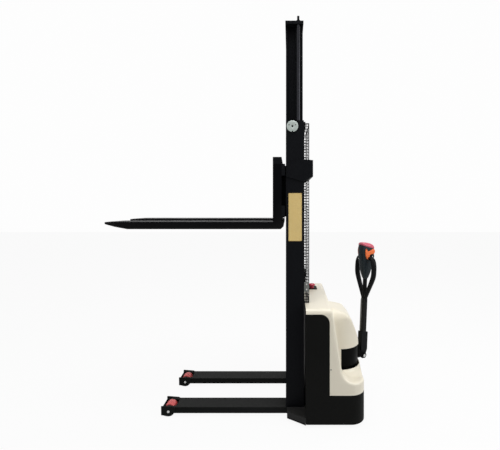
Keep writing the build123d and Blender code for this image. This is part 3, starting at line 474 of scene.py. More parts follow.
def arcPoints(centre, radius, start, end, count):
    turns = [radians(start + (end - start) * k / count) for k in range(count + 1)]
    return [(centre[0] + radius * cos(t), centre[1] + radius * sin(t)) for t in turns]


def bakeModifiers(piece):
    # the modifiers' result becomes the mesh itself
    graph = bpy.context.evaluated_depsgraph_get()
    baked = bpy.data.meshes.new_from_object(piece.evaluated_get(graph))
    piece.modifiers.clear()
    piece.data = baked


def toolPiece(name, mesh):
    piece = bpy.data.objects.new(name, mesh)
    scene.collection.objects.link(piece)
    return piece


def cutWith(piece, tool, operation):
    # the tool is gone once it has cut
    cut = piece.modifiers.new("cut", "BOOLEAN")
    cut.operation, cut.solver, cut.object = operation, "EXACT", tool
    bakeModifiers(piece)
    bpy.data.objects.remove(tool)


def buildScrew(name, spot, axis, radius, body, finish):
    # a turned dome with a socket, as shares of its radius
    dome = [(0, 1), (0.25, 0.98), (0.5, 0.75), (0.58, 0.45), (0.30, 0.42), (0.30, 0)]
    finishPiece(name, turned(spot, axis, [(a * radius, b * radius) for a, b in dome], 20), body, finish)


# body cover: one moulded skin with its drive hump, flared foot, panel recesses and steering slot
coverLook = {
    "front": 0.432, "rear": 0.829, "halfWidth": 0.388, "top": 0.777, "foot": 0.215,
    "spare": 0.05, "overhang": 0.01, "under": 0.1,  # how far the forms reach past the cover before they're cut
    "topRear": 0.594, "rearCorner": 0.012, "leanFoot": 0.664, "shelf": 0.291, "shelfRadius": 0.098,
    "corner": 0.100, "topRadius": 0.034,
    "humpX": 0.679, "humpY": -0.120, "humpRadius": 0.145, "humpTop": 0.738, "humpShoulder": 0.088,
    "humpLow": 0.17, "humpFront": 0.452,
    "humpBow": [(-0.058, 0.738), (0.040, 0.705), (0.0769, 0.661), (0.110, 0.580), (0.137, 0.500), (0.145, 0.328)],
    "flare": [(0.250, 0.205), (0.286, 0.205), (0.291, 0.196), (0.300, 0.180), (0.311, 0.166), (0.322, 0.155),
              (0.345, 0.145)],
    # start and push of the outlines that are crossed
    "upright": ((0, 0, 0.1), (0, 0, 0.8)), "lengthwise": ((0.3, 0, 0), (0.7, 0, 0)),
    "humpAcross": ((0, -0.3, 0), (0, 0.35, 0)),
    "slotLow": 0.328, "slotHigh": 0.468, "slotInner": 0.130, "slotOuter": 0.160,
    "panelRear": 0.5861, "panelTop": 0.743, "panelCorner": 0.058, "panelSeam": 0.0015, "panelDepth": 0.0135,
    "panelSpare": 0.02, "pocket": 0.03, "bulkheadTop": 0.738, "bulkheadInset": 0.0045, "bulkhead": 0.003,
    "voxel": 0.0065, "soften": 16, "wall": 0.004,
}


def coverOutline():
    # the cover seen from the side
    p = coverLook
    low, early, r, c = p["foot"] - p["spare"], p["front"] - p["spare"], p["shelfRadius"], p["rearCorner"]
    return ([(early, low), (early, p["top"])] + arcPoints((p["topRear"], p["top"] - c), c, 90, 20, 4)
            + arcPoints((p["leanFoot"] + r, p["shelf"] + r), r, 180, 270, 12)
            + [(p["rear"], p["shelf"]), (p["rear"], low)])


def planForm():
    p = coverLook
    r, h, early = p["corner"], p["halfWidth"], p["front"] - p["spare"]
    outline = ([(early, -h)] + arcPoints((p["rear"] - r, r - h), r, -90, 0, 12)
               + arcPoints((p["rear"] - r, h - r), r, 0, 90, 12) + [(early, h)])
    return toolPiece("planForm", pushed(fromAbove(outline), *p["upright"]))


def coverBody():
    # side, plan and shoulder outlines crossed, with the flare at the hump's foot
    p = coverLook
    h, r, top, reach = p["halfWidth"], p["topRadius"], p["top"], p["halfWidth"] + p["overhang"]
    body = toolPiece("bodyForm", pushed(fromSide(coverOutline()), (0, -reach, 0), (0, 2 * reach, 0)))
    cutWith(body, planForm(), "INTERSECT")
    shoulders = ([(-h, p["under"])] + arcPoints((r - h, top - r), r, 180, 90, 8)
                 + arcPoints((h - r, top - r), r, 90, 0, 8) + [(h, p["under"])])
    cutWith(body, toolPiece("shoulderForm", pushed(fromFront(shoulders), *p["lengthwise"])), "INTERSECT")
    flare = toolPiece("flareForm", turned((p["humpX"], p["humpY"], 0), (0, 0, 1), p["flare"], 64))
    cutWith(flare, planForm(), "INTERSECT")
    cutWith(body, flare, "UNION")
    return body


def coverHump():
    # side, plan and rear outlines crossed
    p = coverLook
    x, y, r, s = p["humpX"], p["humpY"], p["humpRadius"], p["humpShoulder"]
    early, top, low = p["humpFront"], p["humpTop"], p["humpLow"]
    bow = [(x + out, z) for out, z in p["humpBow"]] + [(x + r, low), (early, low), (early, top)]
    hump = toolPiece("humpForm", pushed(fromSide(bow), *p["humpAcross"]))
    plan = [(p["front"], y - r)] + arcPoints((x, y), r, -90, 90, 40) + [(p["front"], y + r)]
    cutWith(hump, toolPiece("humpPlan", pushed(fromAbove(plan), *p["upright"])), "INTERSECT")
    rear = ([(y - r, low - p["spare"])] + arcPoints((y - r + s, top - s), s, 180, 90, 10)
            + arcPoints((y + r - s, top - s), s, 90, 0, 10) + [(y + r, low - p["spare"])])
    cutWith(hump, toolPiece("humpRear", pushed(fromFront(rear), *p["lengthwise"])), "INTERSECT")
    return hump


def skinCover(body):
    # one soft skin over the joined forms, open at the foot and cut flat where it meets the mast
    p = coverLook
    remesh = body.modifiers.new("skin", "REMESH")
    remesh.mode, remesh.voxel_size = "VOXEL", p["voxel"]
    soft = body.modifiers.new("soft", "SMOOTH")
    soft.factor, soft.iterations = 0.5, p["soften"]
    bakeModifiers(body)
    work = bmesh.new()
    work.from_mesh(body.data)
    for spot, facing in (((0, 0, p["foot"]), (0, 0, 1)), ((p["front"], 0, 0), (1, 0, 0))):
        bmesh.ops.bisect_plane(work, geom=work.verts[:] + work.edges[:] + work.faces[:], plane_co=spot,
                               plane_no=facing, clear_inner=True)
    work.to_mesh(body.data)
    work.free()
    shell = body.modifiers.new("wall", "SOLIDIFY")
    shell.thickness, shell.offset = p["wall"], -1
    bakeModifiers(body)
    print("stage: cover skin,", len(body.data.polygons), "faces")


def cutRecesses(body):
    # pockets for the side panels, a seam wider than the panels, and the half ring for the steering band
    p = coverLook
    x, z, c, seam = p["panelRear"], p["panelTop"], p["panelCorner"], p["panelSeam"]
    early, low = p["front"] - p["panelSpare"], p["foot"] - p["panelSpare"]
    pocket = [(early, low), (early, z + seam)] + arcPoints((x - c, z - c), c + seam, 90, 0, 12) + [(x + seam, low)]
    for sign in (-1, 1):
        start = (0, sign * (p["halfWidth"] - p["panelDepth"]), 0)
        cutWith(body, toolPiece("panelCut", pushed(fromSide(pocket), start, (0, sign * p["pocket"], 0))), "DIFFERENCE")
    centre = (p["humpX"], p["humpY"])
    ring = arcPoints(centre, p["slotOuter"], -90, 90, 40) + arcPoints(centre, p["slotInner"], 90, -90, 40)
    slot = pushed(fromAbove(ring), (0, 0, p["slotLow"]), (0, 0, p["slotHigh"] - p["slotLow"]))
    cutWith(body, toolPiece("slotCut", slot), "DIFFERENCE")


def buildCover():
    body = coverBody()
    cutWith(body, coverHump(), "UNION")
    skinCover(body)
    cutRecesses(body)
    mesh = body.data
    bpy.data.objects.remove(body)
    mesh.materials.clear()
    cover = finishPiece("cover_skin", mesh, "chassis", "coverPlastic", 30)
    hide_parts("body_cover", "hump_cover", "shelf_cover")
    print("stage: cover,", len(mesh.polygons), "faces")


def buildBulkhead():
    # the dark wall behind the mast
    p = coverLook
    h, r, top, inset = p["halfWidth"], p["topRadius"], p["bulkheadTop"], p["bulkheadInset"]
    side = h - p["panelDepth"]
    outline = ([(-side, p["foot"])] + arcPoints((r - h, top - r), r - inset, 180, 90, 8)
               + arcPoints((h - r, top - r), r - inset, 90, 0, 8) + [(side, p["foot"])])
    outline = [(max(-side, min(side, y)), z) for y, z in outline]
    wall = pushed(fromFront(outline), (p["front"], 0, 0), (p["bulkhead"], 0, 0))
    finishPiece("cover_bulkhead", wall, "chassis", "bodyPlastic", 30)


buildCover()
buildBulkhead()
print("stage: bulkhead")

# tiller head, its red safety cap and its hand loop: rings of height, depth, half width and slope
headLook = {
    "sections": [(0.901, 0.0155, 0.012, 0), (0.912, 0.022, 0.018, 0), (0.940, 0.031, 0.026, 0), (0.965, 0.037, 0.031, 0),
                 (0.992, 0.0415, 0.035, 0), (1.055, 0.0505, 0.0415, 0), (1.095, 0.0555, 0.0435, 0.08),
                 (1.122, 0.0558, 0.0435, 0.2), (1.140, 0.0535, 0.041, 0.26)],
    "cap": [(1.1405, 0.054, 0.0415, 0.26), (1.148, 0.0555, 0.0428, 0.23), (1.157, 0.0525, 0.040, 0.20),
            (1.165, 0.044, 0.033, 0.17), (1.170, 0.029, 0.021, 0.14), (1.172, 0.011, 0.008, 0.12)],
    "square": 0.5, "steps": 36,
    # one side of the loop: across, height and radius
    "loop": [(0.011, 0.753, 0.0125), (0.045, 0.822, 0.0145), (0.081, 0.893, 0.0165), (0.097, 0.935, 0.017),
             (0.100, 0.980, 0.017), (0.097, 1.015, 0.017), (0.086, 1.044, 0.017), (0.066, 1.058, 0.0165),
             (0.034, 1.062, 0.015)],
    "loopDepth": 0.94, "loopStretch": 1.28,
    "loopFoot": [(0.727, 0.0165, 0.0225), (0.760, 0.0165, 0.0225), (0.785, 0.015, 0.020), (0.800, 0.0145, 0.0165),
                 (0.850, 0.014, 0.012), (0.908, 0.015, 0.0115)],
}


def headRing(z, out, side, slope=0):
    # a squared oval, tipped outward by the slope
    p = headLook
    ring = []
    for k in range(p["steps"]):
        a, b = cos(2 * pi * k / p["steps"]), sin(2 * pi * k / p["steps"])
        along = math.copysign(out * abs(a) ** p["square"], a)
        across = math.copysign(side * abs(b) ** p["square"], b)
        ring.append(tillerPoint(along, across, z - slope * along))
    return ring


def buildTillerHead():
    p = headLook
    head = finishPiece("head_shell", lofted([headRing(*s) for s in p["sections"]]), "tiller", "headPlastic", 50)
    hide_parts("tiller_head")
    cap = finishPiece("safety_cap", lofted([headRing(*s) for s in p["cap"]]), "tiller", "bellyRed", 60)
    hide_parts("belly_switch")

    def buildLoop(work):
        for sign in (-1, 1):
            path = smoothPath([(sign * side, z, radius) for side, z, radius in p["loop"]], 6)
            centres = [tillerPoint(0, side, z) for side, z, radius in path]
            radii = [radius * p["loopDepth"] for side, z, radius in path]
            addTube(work, centres, radii, 20, p["loopStretch"], outAxis)
        addLoft(work, [headRing(*s) for s in p["loopFoot"]])
    loop = finishPiece("hand_loop", meshFrom(buildLoop), "tiller", "gripPlastic", 60)
    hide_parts("tiller_loop")


buildTillerHead()
print("stage: tiller head")

# cable duct along the shaft's inner face; its pale grey is also a painted highlight of the shaft's lit inner face
ductLook = {"inner": -0.023, "outer": -0.0165, "left": 0.0038, "right": 0.0162, "corner": 0.003,
            "low": 0.510, "high": 0.748, "end": 0.004, "endInset": 0.002}


def buildDuct():
    p = ductLook
    x0, x1, y0, y1, c = p["inner"], p["outer"], p["left"], p["right"], p["corner"]
    rings = []
    for z, i in ((p["low"], p["endInset"]), (p["low"] + p["end"], 0),
                 (p["high"] - p["end"], 0), (p["high"], p["endInset"])):
        outline = [(x1, y0), (x0 + c, y0 + i), (x0 + i, y0 + c), (x0 + i, y1 - c), (x0 + c, y1 - i), (x1, y1)]
        rings.append([tillerPoint(out, side, z) for out, side in outline])
    finishPiece("shaft_duct_and_highlight", lofted(rings), "tiller", "ductGreyAndHighlight", 50)


# thumb wings on their hubs, one on each side of the head
wingLook = {
    "centre": 1.090, "inner": 0.0405, "thickness": 0.0125, "edge": 0.0042,
    "outline": [(-0.0385, 0.036), (-0.034, 0.0385), (-0.028, 0.031), (-0.019, 0.021), (-0.008, 0.022), (0.010, 0.030),
                (0.030, 0.038), (0.038, 0.036), (0.043, 0.024), (0.040, 0.010), (0.028, 0.001), (0.010, -0.003),
                (-0.001, -0.005), (-0.004, -0.016), (-0.007, -0.030), (-0.011, -0.038), (-0.020, -0.037),
                (-0.030, -0.029), (-0.036, -0.014), (-0.039, 0.004), (-0.0405, 0.020)],
    "hubAt": (0.014, 0.036, 1.076), "screw": 0.0048, "screwAt": 0.025,
    "hub": [(0, 0.0165), (0.024, 0.0165), (0.028, 0.0125), (0.028, 0.006), (0.025, 0.004), (0.025, 0)],
}


def buildWings():
    p = wingLook
    out, side, z = p["hubAt"]
    for sideName, sign in (("left", -1), ("right", 1)):
        away = sideAxis * sign
        outline = [tillerPoint(a, sign * p["inner"], p["centre"] + b) for a, b in p["outline"]]
        wing = finishPiece("thumb_wing_" + sideName, pushed(outline, (0, 0, 0), away * p["thickness"]),
                           "tiller", "throttleOrange")
        roundEdges(wing, p["edge"], 4)
        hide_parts("throttle_" + sideName)
        centre = tillerPoint(out, sign * side, z)
        finishPiece("wing_hub_" + sideName, turned(centre, away, p["hub"], 28), "tiller", "gripPlastic", 35)
        buildScrew("hub_screw_" + sideName, centre + away * p["screwAt"], away, p["screw"], "tiller", "boltZinc")


buildDuct()
buildWings()
print("stage: thumb wings")

# leaf chains: plates in the chain's plane, stacked along the pins
chainLook = {"pitch": 0.0159, "plate": 0.0125, "thickness": 0.0018, "layers": (-0.0066, -0.0022, 0.0022, 0.0066),
             "pin": 0.0026, "pinLength": 0.0176, "places": (-0.075, 0.075), "wrapInset": 0.005}


def chainLink(work, start, end, y, odd):
    # one pitch of the chain between two pin centres
    p = chainLook
    start, end = Vector(start), Vector(end)
    length, along = (end - start).length, (end - start).normalized()
    across = Vector((along.z, 0, -along.x))
    half = p["plate"] / 2
    outline = []
    for centre, turn in ((0, half), (length, -half)):
        for angle in (-60, -20, 20, 60):
            outline.append(start + along * (centre - turn * cos(radians(angle))) - across * turn * sin(radians(angle)))
    shift = p["thickness"] * (0.05 if odd else -1.05)
    for layer in p["layers"]:
        addPrism(work, outline, (0, y + layer + shift, 0), (0, p["thickness"], 0))
    addLathe(work, (start.x, y - p["pinLength"] / 2, start.z), (0, 1, 0), [(0, p["pin"]), (p["pinLength"], p["pin"])], 8)


def chainMesh(points):
    # the same run of links at both places across the mast
    def build(work):
        for y in chainLook["places"]:
            for k, (start, end) in enumerate(zip(points, points[1:])):
                chainLink(work, start, end, y, k % 2)
    return meshFrom(build)


def buildChains():
    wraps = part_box("chain_wraps")
    pulleyX, pulleyZ = (wraps[0][0] + wraps[1][0]) / 2, wraps[0][2]
    radius = (wraps[1][0] - wraps[0][0]) / 2 - chainLook["wrapInset"]
    for end, body in (("front", "carriage"), ("rear", "chassis")):
        low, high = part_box("chain_" + end)
        x, rise = (low[0] + high[0]) / 2, pulleyZ - low[2]
        count = round(rise / chainLook["pitch"])
        points = [(x, 0, low[2] + k * rise / count) for k in range(count + 1)]
        run = finishPiece("chain_run_" + end, chainMesh(points), None, "chainSteel", 30)
        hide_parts("chain_" + end)
        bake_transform(run)
    count = round(pi * radius / chainLook["pitch"])
    turns = [pi * k / count for k in range(count + 1)]
    points = [(pulleyX - radius * cos(t), 0, pulleyZ + radius * sin(t)) for t in turns]
    wrap = finishPiece("chain_wrap_links", chainMesh(points), "inner_mast", "chainSteel", 30)
    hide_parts("chain_wraps")


buildChains()
print("stage: chains")

# wheels: moulded treads on turned hubs, as half profiles of distance and radius, and the axle ends in the leg cheeks
wheelLook = {
    "tread": [(0.033, 0.0265), (0.033, 0.032), (0.031, 0.035), (0.027, 0.0368), (0, 0.037)],
    "hub": [(0.032, 0.0102), (0.032, 0.016), (0.029, 0.018), (0.029, 0.023), (0.0325, 0.0265)],
    "axleEnd": [(0, 0.0085), (0.0012, 0.0085), (0.0018, 0.0075), (0.0018, 0.003), (0.0010, 0)],
}
cheekLook = {
    "face": 0.0615, "thickness": 0.0025, "edge": 0.0006,
    "outline": [(-0.050, 0.0365), (-0.043, 0.0390), (0.036, 0.0330), (0.046, 0.0270), (0.047, 0.010), (0.042, -0.006),
                (0.033, -0.019), (0.019, -0.0295), (0.002, -0.0327), (-0.016, -0.0310), (-0.032, -0.0265),
                (-0.049, -0.0245)],
}
foldLook = {"from": 0.030, "halfWidth": 0.0595, "low": 0.0232, "high": 0.0305, "edge": 0.003}


def bothHalves(profile):
    return [(-along, radius) for along, radius in profile] + [point for point in reversed(profile) if point[0]]


def wheelCentre(side):
    low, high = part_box("load_wheel_" + side)
    return [(a + b) / 2 for a, b in zip(low, high)]


def legFaces(sign):
    # the faces of one leg, toward the machine's middle and away from it
    return (("in" if end == -sign else "out", end) for end in (-1, 1))


def buildLoadWheels():
    p = wheelLook
    for side, sign in (("left", -1), ("right", 1)):
        x, y, z = centre = wheelCentre(side)
        body = "load_wheel_" + side
        tread = turned(centre, (0, 1, 0), bothHalves(p["tread"]), 56)
        wheel = finishPiece("tread_" + side, tread, body, "wheelTread", 50)
        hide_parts("load_wheel_" + side)
        finishPiece("hub_" + side, turned(centre, (0, 1, 0), bothHalves(p["hub"]), 40), body, "darkPaint", 35)
        for place, end in legFaces(sign):
            spot = (x, y + end * (cheekLook["face"] + cheekLook["thickness"]), z)
            finishPiece("axle_end_%s_%s" % (side, place), turned(spot, (0, end, 0), p["axleEnd"], 24),
                        "chassis", "whiteCap", 35)


def buildLegTrim():
    # cheek plates round the load axle, and the folded lower edge of each leg
    p, fold = cheekLook, foldLook
    for side, sign in (("left", -1), ("right", 1)):
        x, y, z = wheelCentre(side)
        outline = fromSide([(x + a, z + b) for a, b in p["outline"]])
        for place, end in legFaces(sign):
            cheek = pushed(outline, (0, y + end * p["face"], 0), (0, end * p["thickness"], 0))
            plate = finishPiece("cheek_%s_%s" % (side, place), cheek, "chassis", "legPaint")
            roundEdges(plate, p["edge"], 2)
        x0, x1, low, e = x + fold["from"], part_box("mast_base")[0][0], fold["low"], fold["edge"]
        rings = []
        for height, inset in ((low, e), (low + e * 0.3, e * 0.3), (low + e, 0), (fold["high"], 0)):
            half = fold["halfWidth"] - inset
            corners = ((x0, y - half), (x1, y - half), (x1, y + half), (x0, y + half))
            rings.append([Vector((a, b, height)) for a, b in corners])
        finishPiece("leg_fold_" + side, lofted(rings), "chassis", "legPaint")


buildLoadWheels()
buildLegTrim()
print("stage: wheels and leg trim")

# roller cover discs on the rails' outer faces, as profiles of distance and radius
discLook = {
    "radius": 0.0395,
    "disc": [(0, 0.0395), (0.00132, 0.0395), (0.0022, 0.0375), (0.0022, 0.0078), (0.0016, 0.0068), (0.0002, 0.0058),
             (0.0002, 0)],
    "dimple": [(0, 0.0052), (0.0007, 0.0046), (0.0002, 0)], "dimpleFace": 0.0020, "dimpleAt": 0.0245,
    "dimpleTurns": (23, 157),
    "hole": [(0, 0.0068), (0.0022, 0.0068), (0.0024, 0.0058), (0.0012, 0)], "holeFace": 0.0003,
    "notch": [(0, 0.0048), (0.0025, 0.0048), (0.0027, 0.0038), (0.0022, 0)], "notchDrop": 0.0360,
}


def buildDiscs():
    p = discLook
    low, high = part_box("top_rollers")
    x, z = high[0] - p["radius"], (low[2] + high[2]) / 2
    for side, sign in (("left", -1), ("right", 1)):
        face, away = sign * high[1], (0, sign, 0)
        finishPiece("roller_disc_" + side, turned((x, face, z), away, p["disc"], 48), "chassis", "rollerSteel", 35)

        # the dimples drawn as small bumps in a darker grey than the disc: painted shade in the hollows
        def buildDimpleShade(work):
            for turn in p["dimpleTurns"]:
                along, up = p["dimpleAt"] * cos(radians(turn)), p["dimpleAt"] * sin(radians(turn))
                addLathe(work, (x + along, face + sign * p["dimpleFace"], z + up), away, p["dimple"], 20)
        finishPiece("disc_dimple_shade_" + side, meshFrom(buildDimpleShade), "chassis", "castGrey", 35)

        # the centre hole and the lower notch drawn as black plugs on the disc: painted shade in the hole and the notch
        def buildShadeMarks(work):
            addLathe(work, (x, face + sign * p["holeFace"], z), away, p["hole"], 24)
            addLathe(work, (x, face, z - p["notchDrop"]), away, p["notch"], 16)
        finishPiece("disc_shade_marks_" + side, meshFrom(buildShadeMarks), "chassis", "blackPaint", 35)


buildDiscs()
print("stage: roller discs")

# emergency stop: collar and mushroom
stopLook = {"profile": [(0, 0.018), (0.006, 0.018), (0.008, 0.0165), (0.010, 0.014), (0.017, 0.014), (0.0185, 0.0235),
                        (0.0205, 0.0265), (0.0255, 0.0270), (0.0305, 0.0240), (0.0332, 0.0170), (0.0340, 0.0080),
                        (0.0340, 0)]}


def buildStop():
    low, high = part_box("stop_button")
    centre = ((low[0] + high[0]) / 2, (low[1] + high[1]) / 2, low[2])
    button = finishPiece("stop_mushroom", turned(centre, (0, 0, 1), stopLook["profile"], 40), "chassis", "stopRed")
    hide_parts("stop_button")


buildStop()
print("stage: emergency stop")

# tiller pivot bolts, and the screws of cover and head
screwLook = {
    "pivotAt": 0.0390,
    "pivot": [(0, 0.0105), (0.0015, 0.0105), (0.0017, 0.0085), (0.0040, 0.0085), (0.0048, 0.0070), (0.0048, 0)],
    "coverAt": (0.595, 0.384), "cover": 0.0045, "sunk": 0.0005,
    "headAt": ((-0.0482, 0.026, 1.088), (-0.0440, 0.030, 1.050), (-0.0478, 0.018, 1.046)), "head": 0.0034,
}


def buildScrews():
    p = screwLook
    x, z = p["coverAt"]
    for side, sign in (("near", -1), ("far", 1)):
        away = sideAxis * sign
        finishPiece("pivot_bolt_" + side, turned(pivot + away * p["pivotAt"], away, p["pivot"], 24),
                    "steer_unit", "boltZinc", 35)
        buildScrew("cover_screw_" + side, (x, sign * (coverLook["halfWidth"] - p["sunk"]), z), (0, sign, 0), p["cover"],
                   "chassis", "castGrey")
    for index, (out, side, z) in enumerate(p["headAt"]):
        buildScrew("head_screw_%d" % (index + 1), tillerPoint(out - p["sunk"], side, z), -outAxis, p["head"],
                   "tiller", "boltZinc")


buildScrews()
print("stage: fasteners")

# steering band in the slot, with the yoke block that carries the tiller
bandLook = {"low": 0.336, "high": 0.461, "radius": 0.1375, "inner": 0.1310, "edge": 0.004,
            "yokeRadius": 0.160, "yokeAngle": 17, "yokeEdge": 0.006}


def buildBand():
    p = bandLook
    low, high, outer, inner, e = p["low"], p["high"], p["radius"], p["inner"], p["edge"]
    profile = [(low, inner), (low, outer - e), (low + e * 0.3, outer - e * 0.3), (low + e, outer),
               (high - e, outer), (high - e * 0.3, outer - e * 0.3), (high, outer - e), (high, inner)]
    finishPiece("drum_band", turned(steerCentre, (0, 0, 1), profile, 72), "steer_unit", "drumPlastic", 35)
    turn = math.degrees(math.atan2(outAxis.y, outAxis.x))
    start, end = turn - p["yokeAngle"], turn + p["yokeAngle"]
    outline = arcPoints(steerCentre, p["yokeRadius"], start, end, 14) + arcPoints(steerCentre, inner, end, start, 14)
    yoke = finishPiece("drum_yoke", pushed(fromAbove(outline), (0, 0, low), (0, 0, high - low)),
                       "steer_unit", "drumPlastic", 35)
    roundEdges(yoke, p["yokeEdge"], 4)


buildBand()
print("stage: steering band")

# folded lower edges of the base plate and of the skirt
edgeLook = {"baseLow": 0.0165, "baseHigh": 0.0305, "baseFront": 0.310, "baseRear": 0.387, "chamfer": 0.004,
            "fold": 0.003, "inset": 0.0006, "gap": 0.001,
            "lipLow": 0.0225, "lipHigh": 0.0400, "lipWidth": 0.012, "lipEdge": 0.002}


def buildLowerEdges():
    p, c = edgeLook, coverLook
    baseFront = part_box("mast_base")[0][0]

    def wedge(z, inset):
        x0, x1, front, rear = baseFront + inset, c["front"] - p["gap"], p["baseFront"] - inset, p["baseRear"] - inset
        return [Vector((x, y, z)) for x, y in ((x0, -front), (x1, -rear), (x1, rear), (x0, front))]
    levels = ((p["baseLow"], p["chamfer"]), (p["baseLow"] + p["fold"], p["inset"]), (p["baseHigh"], p["inset"]))
    finishPiece("base_fold", lofted([wedge(*level) for level in levels]), "chassis", "bodyPlastic", 30)
    h, r, x0, x1 = c["halfWidth"] - p["inset"], c["corner"], c["front"] + p["gap"], c["rear"] - c["corner"]

    def ring(inset, z):
        outer = ([(x0, inset - h)] + arcPoints((x1, r - h), r - inset, -90, 0, 12)
                 + arcPoints((x1, h - r), r - inset, 0, 90, 12) + [(x0, h - inset)])
        return [Vector((x, y, z)) for x, y in outer]

    def lip(work):
        # an open band, closed round its section
        section = [(p["lipEdge"], p["lipLow"]), (0, p["lipLow"] + p["lipEdge"]), (0, p["lipHigh"]),
                   (p["lipWidth"], p["lipHigh"]), (p["lipWidth"], p["lipLow"])]
        rows = [[work.verts.new(v) for v in ring(inset, z)] for inset, z in section]
        for a, b in zip(rows, rows[1:] + rows[:1]):
            for i in range(len(a) - 1):
                work.faces.new((a[i], a[i + 1], b[i + 1], b[i]))
        for end in (0, -1):
            work.faces.new([row[end] for row in rows])
    finishPiece("skirt_lip", meshFrom(lip), "chassis", "bodyPlastic", 30)


buildLowerEdges()
print("stage: lower edges")

# clips that hold the mesh guard to the mast
clipLook = {"x0": 0.425, "x1": 0.459, "low": 0.856, "high": 0.924, "thickness": 0.003, "corner": 0.005,
            "edge": 0.0008, "bolt": 0.0055, "boltInset": 0.016}


def buildClips():
    p = clipLook
    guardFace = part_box("mesh_guard")[1][1]
    x0, x1, low, high, c = p["x0"], p["x1"], p["low"], p["high"], p["corner"]
    corners = (((x1 - c, high - c), 0), ((x0 + c, high - c), 90), ((x0 + c, low + c), 180), ((x1 - c, low + c), 270))
    outline = [point for centre, start in corners for point in arcPoints(centre, c, start, start + 90, 4)]
    for side, sign in (("near", -1), ("far", 1)):
        plate = pushed(fromSide(outline), (0, sign * guardFace, 0), (0, sign * p["thickness"], 0))
        clip = finishPiece("guard_clip_" + side, plate, "chassis", "castGrey")
        roundEdges(clip, p["edge"], 2)
        for index, z in enumerate((low + p["boltInset"], high - p["boltInset"])):
            spot = ((x0 + x1) / 2, sign * (guardFace + p["thickness"]), z)
            buildScrew("clip_screw_%s_%d" % (side, index + 1), spot, (0, sign, 0), p["bolt"], "chassis", "boltZinc")


buildClips()
print("stage: guard clips")

# blank identification label on the near mast rail
labelLook = {"x0": 0.3165, "x1": 0.4095, "z0": 1.2095, "z1": 1.541, "corner": 0.004, "thickness": 0.0006,
             "border": 0.0022}


def buildLabel():
    p = labelLook
    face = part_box("outer_rail_left")[0][1]

    def plate(inset, start, depth):
        c = p["corner"]
        x0, x1, z0, z1 = p["x0"] + inset, p["x1"] - inset, p["z0"] + inset, p["z1"] - inset
        outline = [(x0 + c, z0), (x1 - c, z0), (x1, z0 + c), (x1, z1 - c),
                   (x1 - c, z1), (x0 + c, z1), (x0, z1 - c), (x0, z0 + c)]
        return pushed(fromSide(outline), (0, start, 0), (0, depth, 0))
    finishPiece("rail_label_edge", plate(0, face, -p["thickness"]), "chassis", "labelEdge")
    finishPiece("rail_label", plate(p["border"], face - p["thickness"], -p["thickness"] * 0.5), "chassis", "labelGold")


buildLabel()
print("stage: label")

# camera where the photograph was taken from, level and square to the machine's side
cameraPlace = {"at": (0.324, -2.726, 1.493), "focal": 25.78, "shift": (-0.079, -0.05)}
cameraData = bpy.data.cameras.new("sideCamera")
cameraData.lens = cameraPlace["focal"]
cameraData.shift_x, cameraData.shift_y = cameraPlace["shift"]
cameraData.clip_end = 100
camera = bpy.data.objects.new("sideCamera", cameraData)
camera.location = cameraPlace["at"]
camera.rotation_euler = (radians(90), 0, 0)
scene.collection.objects.link(camera)
scene.camera = camera

# floor, backdrop and lamps; each lamp has its place, its aim, its size and its power
studioLook = {
    "backdrop": 0.985, "ambient": 0.35,
    "floorGlow": 0.935, "floorTone": 0.66, "floorCloud": 0.01, "floorRough": 0.9, "floorShine": 0.1,
    "floor": [(-14, -9, 0), (14, -9, 0), (14, 14, 0), (-14, 14, 0)],
    "lamps": (("keyPanel", (-2.2, -3.0, 3.4), (0.1, 0, 1.1), 2.4, 12),
              ("fillPanel", (4.0, -1.7, 3.0), (0.6, 0, 0.6), 2.2, 78),
              ("topPanel", (0.5, -0.4, 4.6), (0.4, 0, 0.8), 2.8, 140)),
}


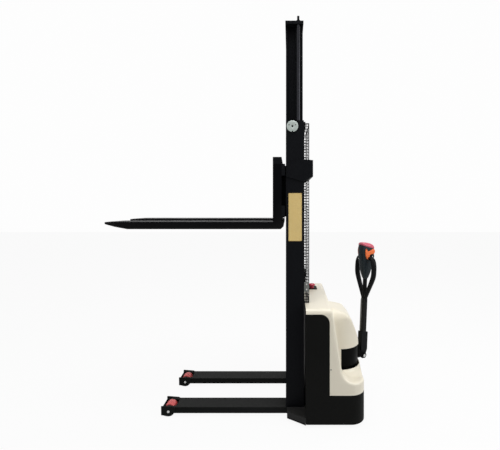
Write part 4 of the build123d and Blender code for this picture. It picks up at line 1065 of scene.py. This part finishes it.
def seenByCamera(tree, strength):
    # the strength where the camera looks, straight or by a mirror, and nothing for other rays
    path = tree.nodes.new("ShaderNodeLightPath")
    seen = mathNode(tree, "MAXIMUM", path.outputs["Is Camera Ray"], path.outputs["Is Glossy Ray"])
    seen = mathNode(tree, "MAXIMUM", seen, path.outputs["Is Transmission Ray"])
    return mathNode(tree, "MULTIPLY", seen, strength)


def buildFloor():
    p = studioLook
    floor = bpy.data.objects.new("studioFloor", pushed(p["floor"], (0, 0, -0.004), (0, 0, 0.0035)))
    scene.collection.objects.link(floor)
    material = bpy.data.materials.new("paleFloor")
    material.use_nodes = True
    tree = material.node_tree
    shader = tree.nodes["Principled BSDF"]
    shader.inputs["Roughness"].default_value = p["floorRough"]
    shader.inputs["Specular IOR Level"].default_value = p["floorShine"]
    grain = addGroup(tree, grainGroup, {"Grain Scale": 40, "Cloud Scale": 1.5})
    dark, light = (p["floorTone"] - p["floorCloud"],) * 3, (p["floorTone"] + p["floorCloud"],) * 3
    tree.links.new(mixColour(tree, grain.outputs["Cloud"], dark, light), shader.inputs["Base Color"])
    glow = tree.nodes.new("ShaderNodeEmission")
    glow.inputs["Strength"].default_value = 1
    blend = tree.nodes.new("ShaderNodeMixShader")
    tree.links.new(seenByCamera(tree, p["floorGlow"]), blend.inputs[0])
    tree.links.new(shader.outputs[0], blend.inputs[1])
    tree.links.new(glow.outputs[0], blend.inputs[2])
    tree.links.new(blend.outputs[0], tree.nodes["Material Output"].inputs[0])
    floor.data.materials.append(material)


def buildBackdrop():
    world = bpy.data.worlds.new("studio")
    scene.world = world
    world.use_nodes = True
    tree = world.node_tree
    background = tree.nodes["Background"]
    background.inputs["Color"].default_value = (1, 1, 1, 1)
    strength = mathNode(tree, "MAXIMUM", seenByCamera(tree, studioLook["backdrop"]), studioLook["ambient"])
    tree.links.new(strength, background.inputs["Strength"])


def buildLamps():
    for name, spot, aim, size, power in studioLook["lamps"]:
        light = bpy.data.lights.new(name, "AREA")
        light.size, light.energy = size, power
        lamp = bpy.data.objects.new(name, light)
        lamp.location = spot
        lamp.rotation_euler = (Vector(aim) - Vector(spot)).to_track_quat("-Z", "Y").to_euler()
        scene.collection.objects.link(lamp)


buildFloor()
buildBackdrop()
buildLamps()
scene.view_settings.view_transform = "Standard"
print("stage: camera, floor and lamps")
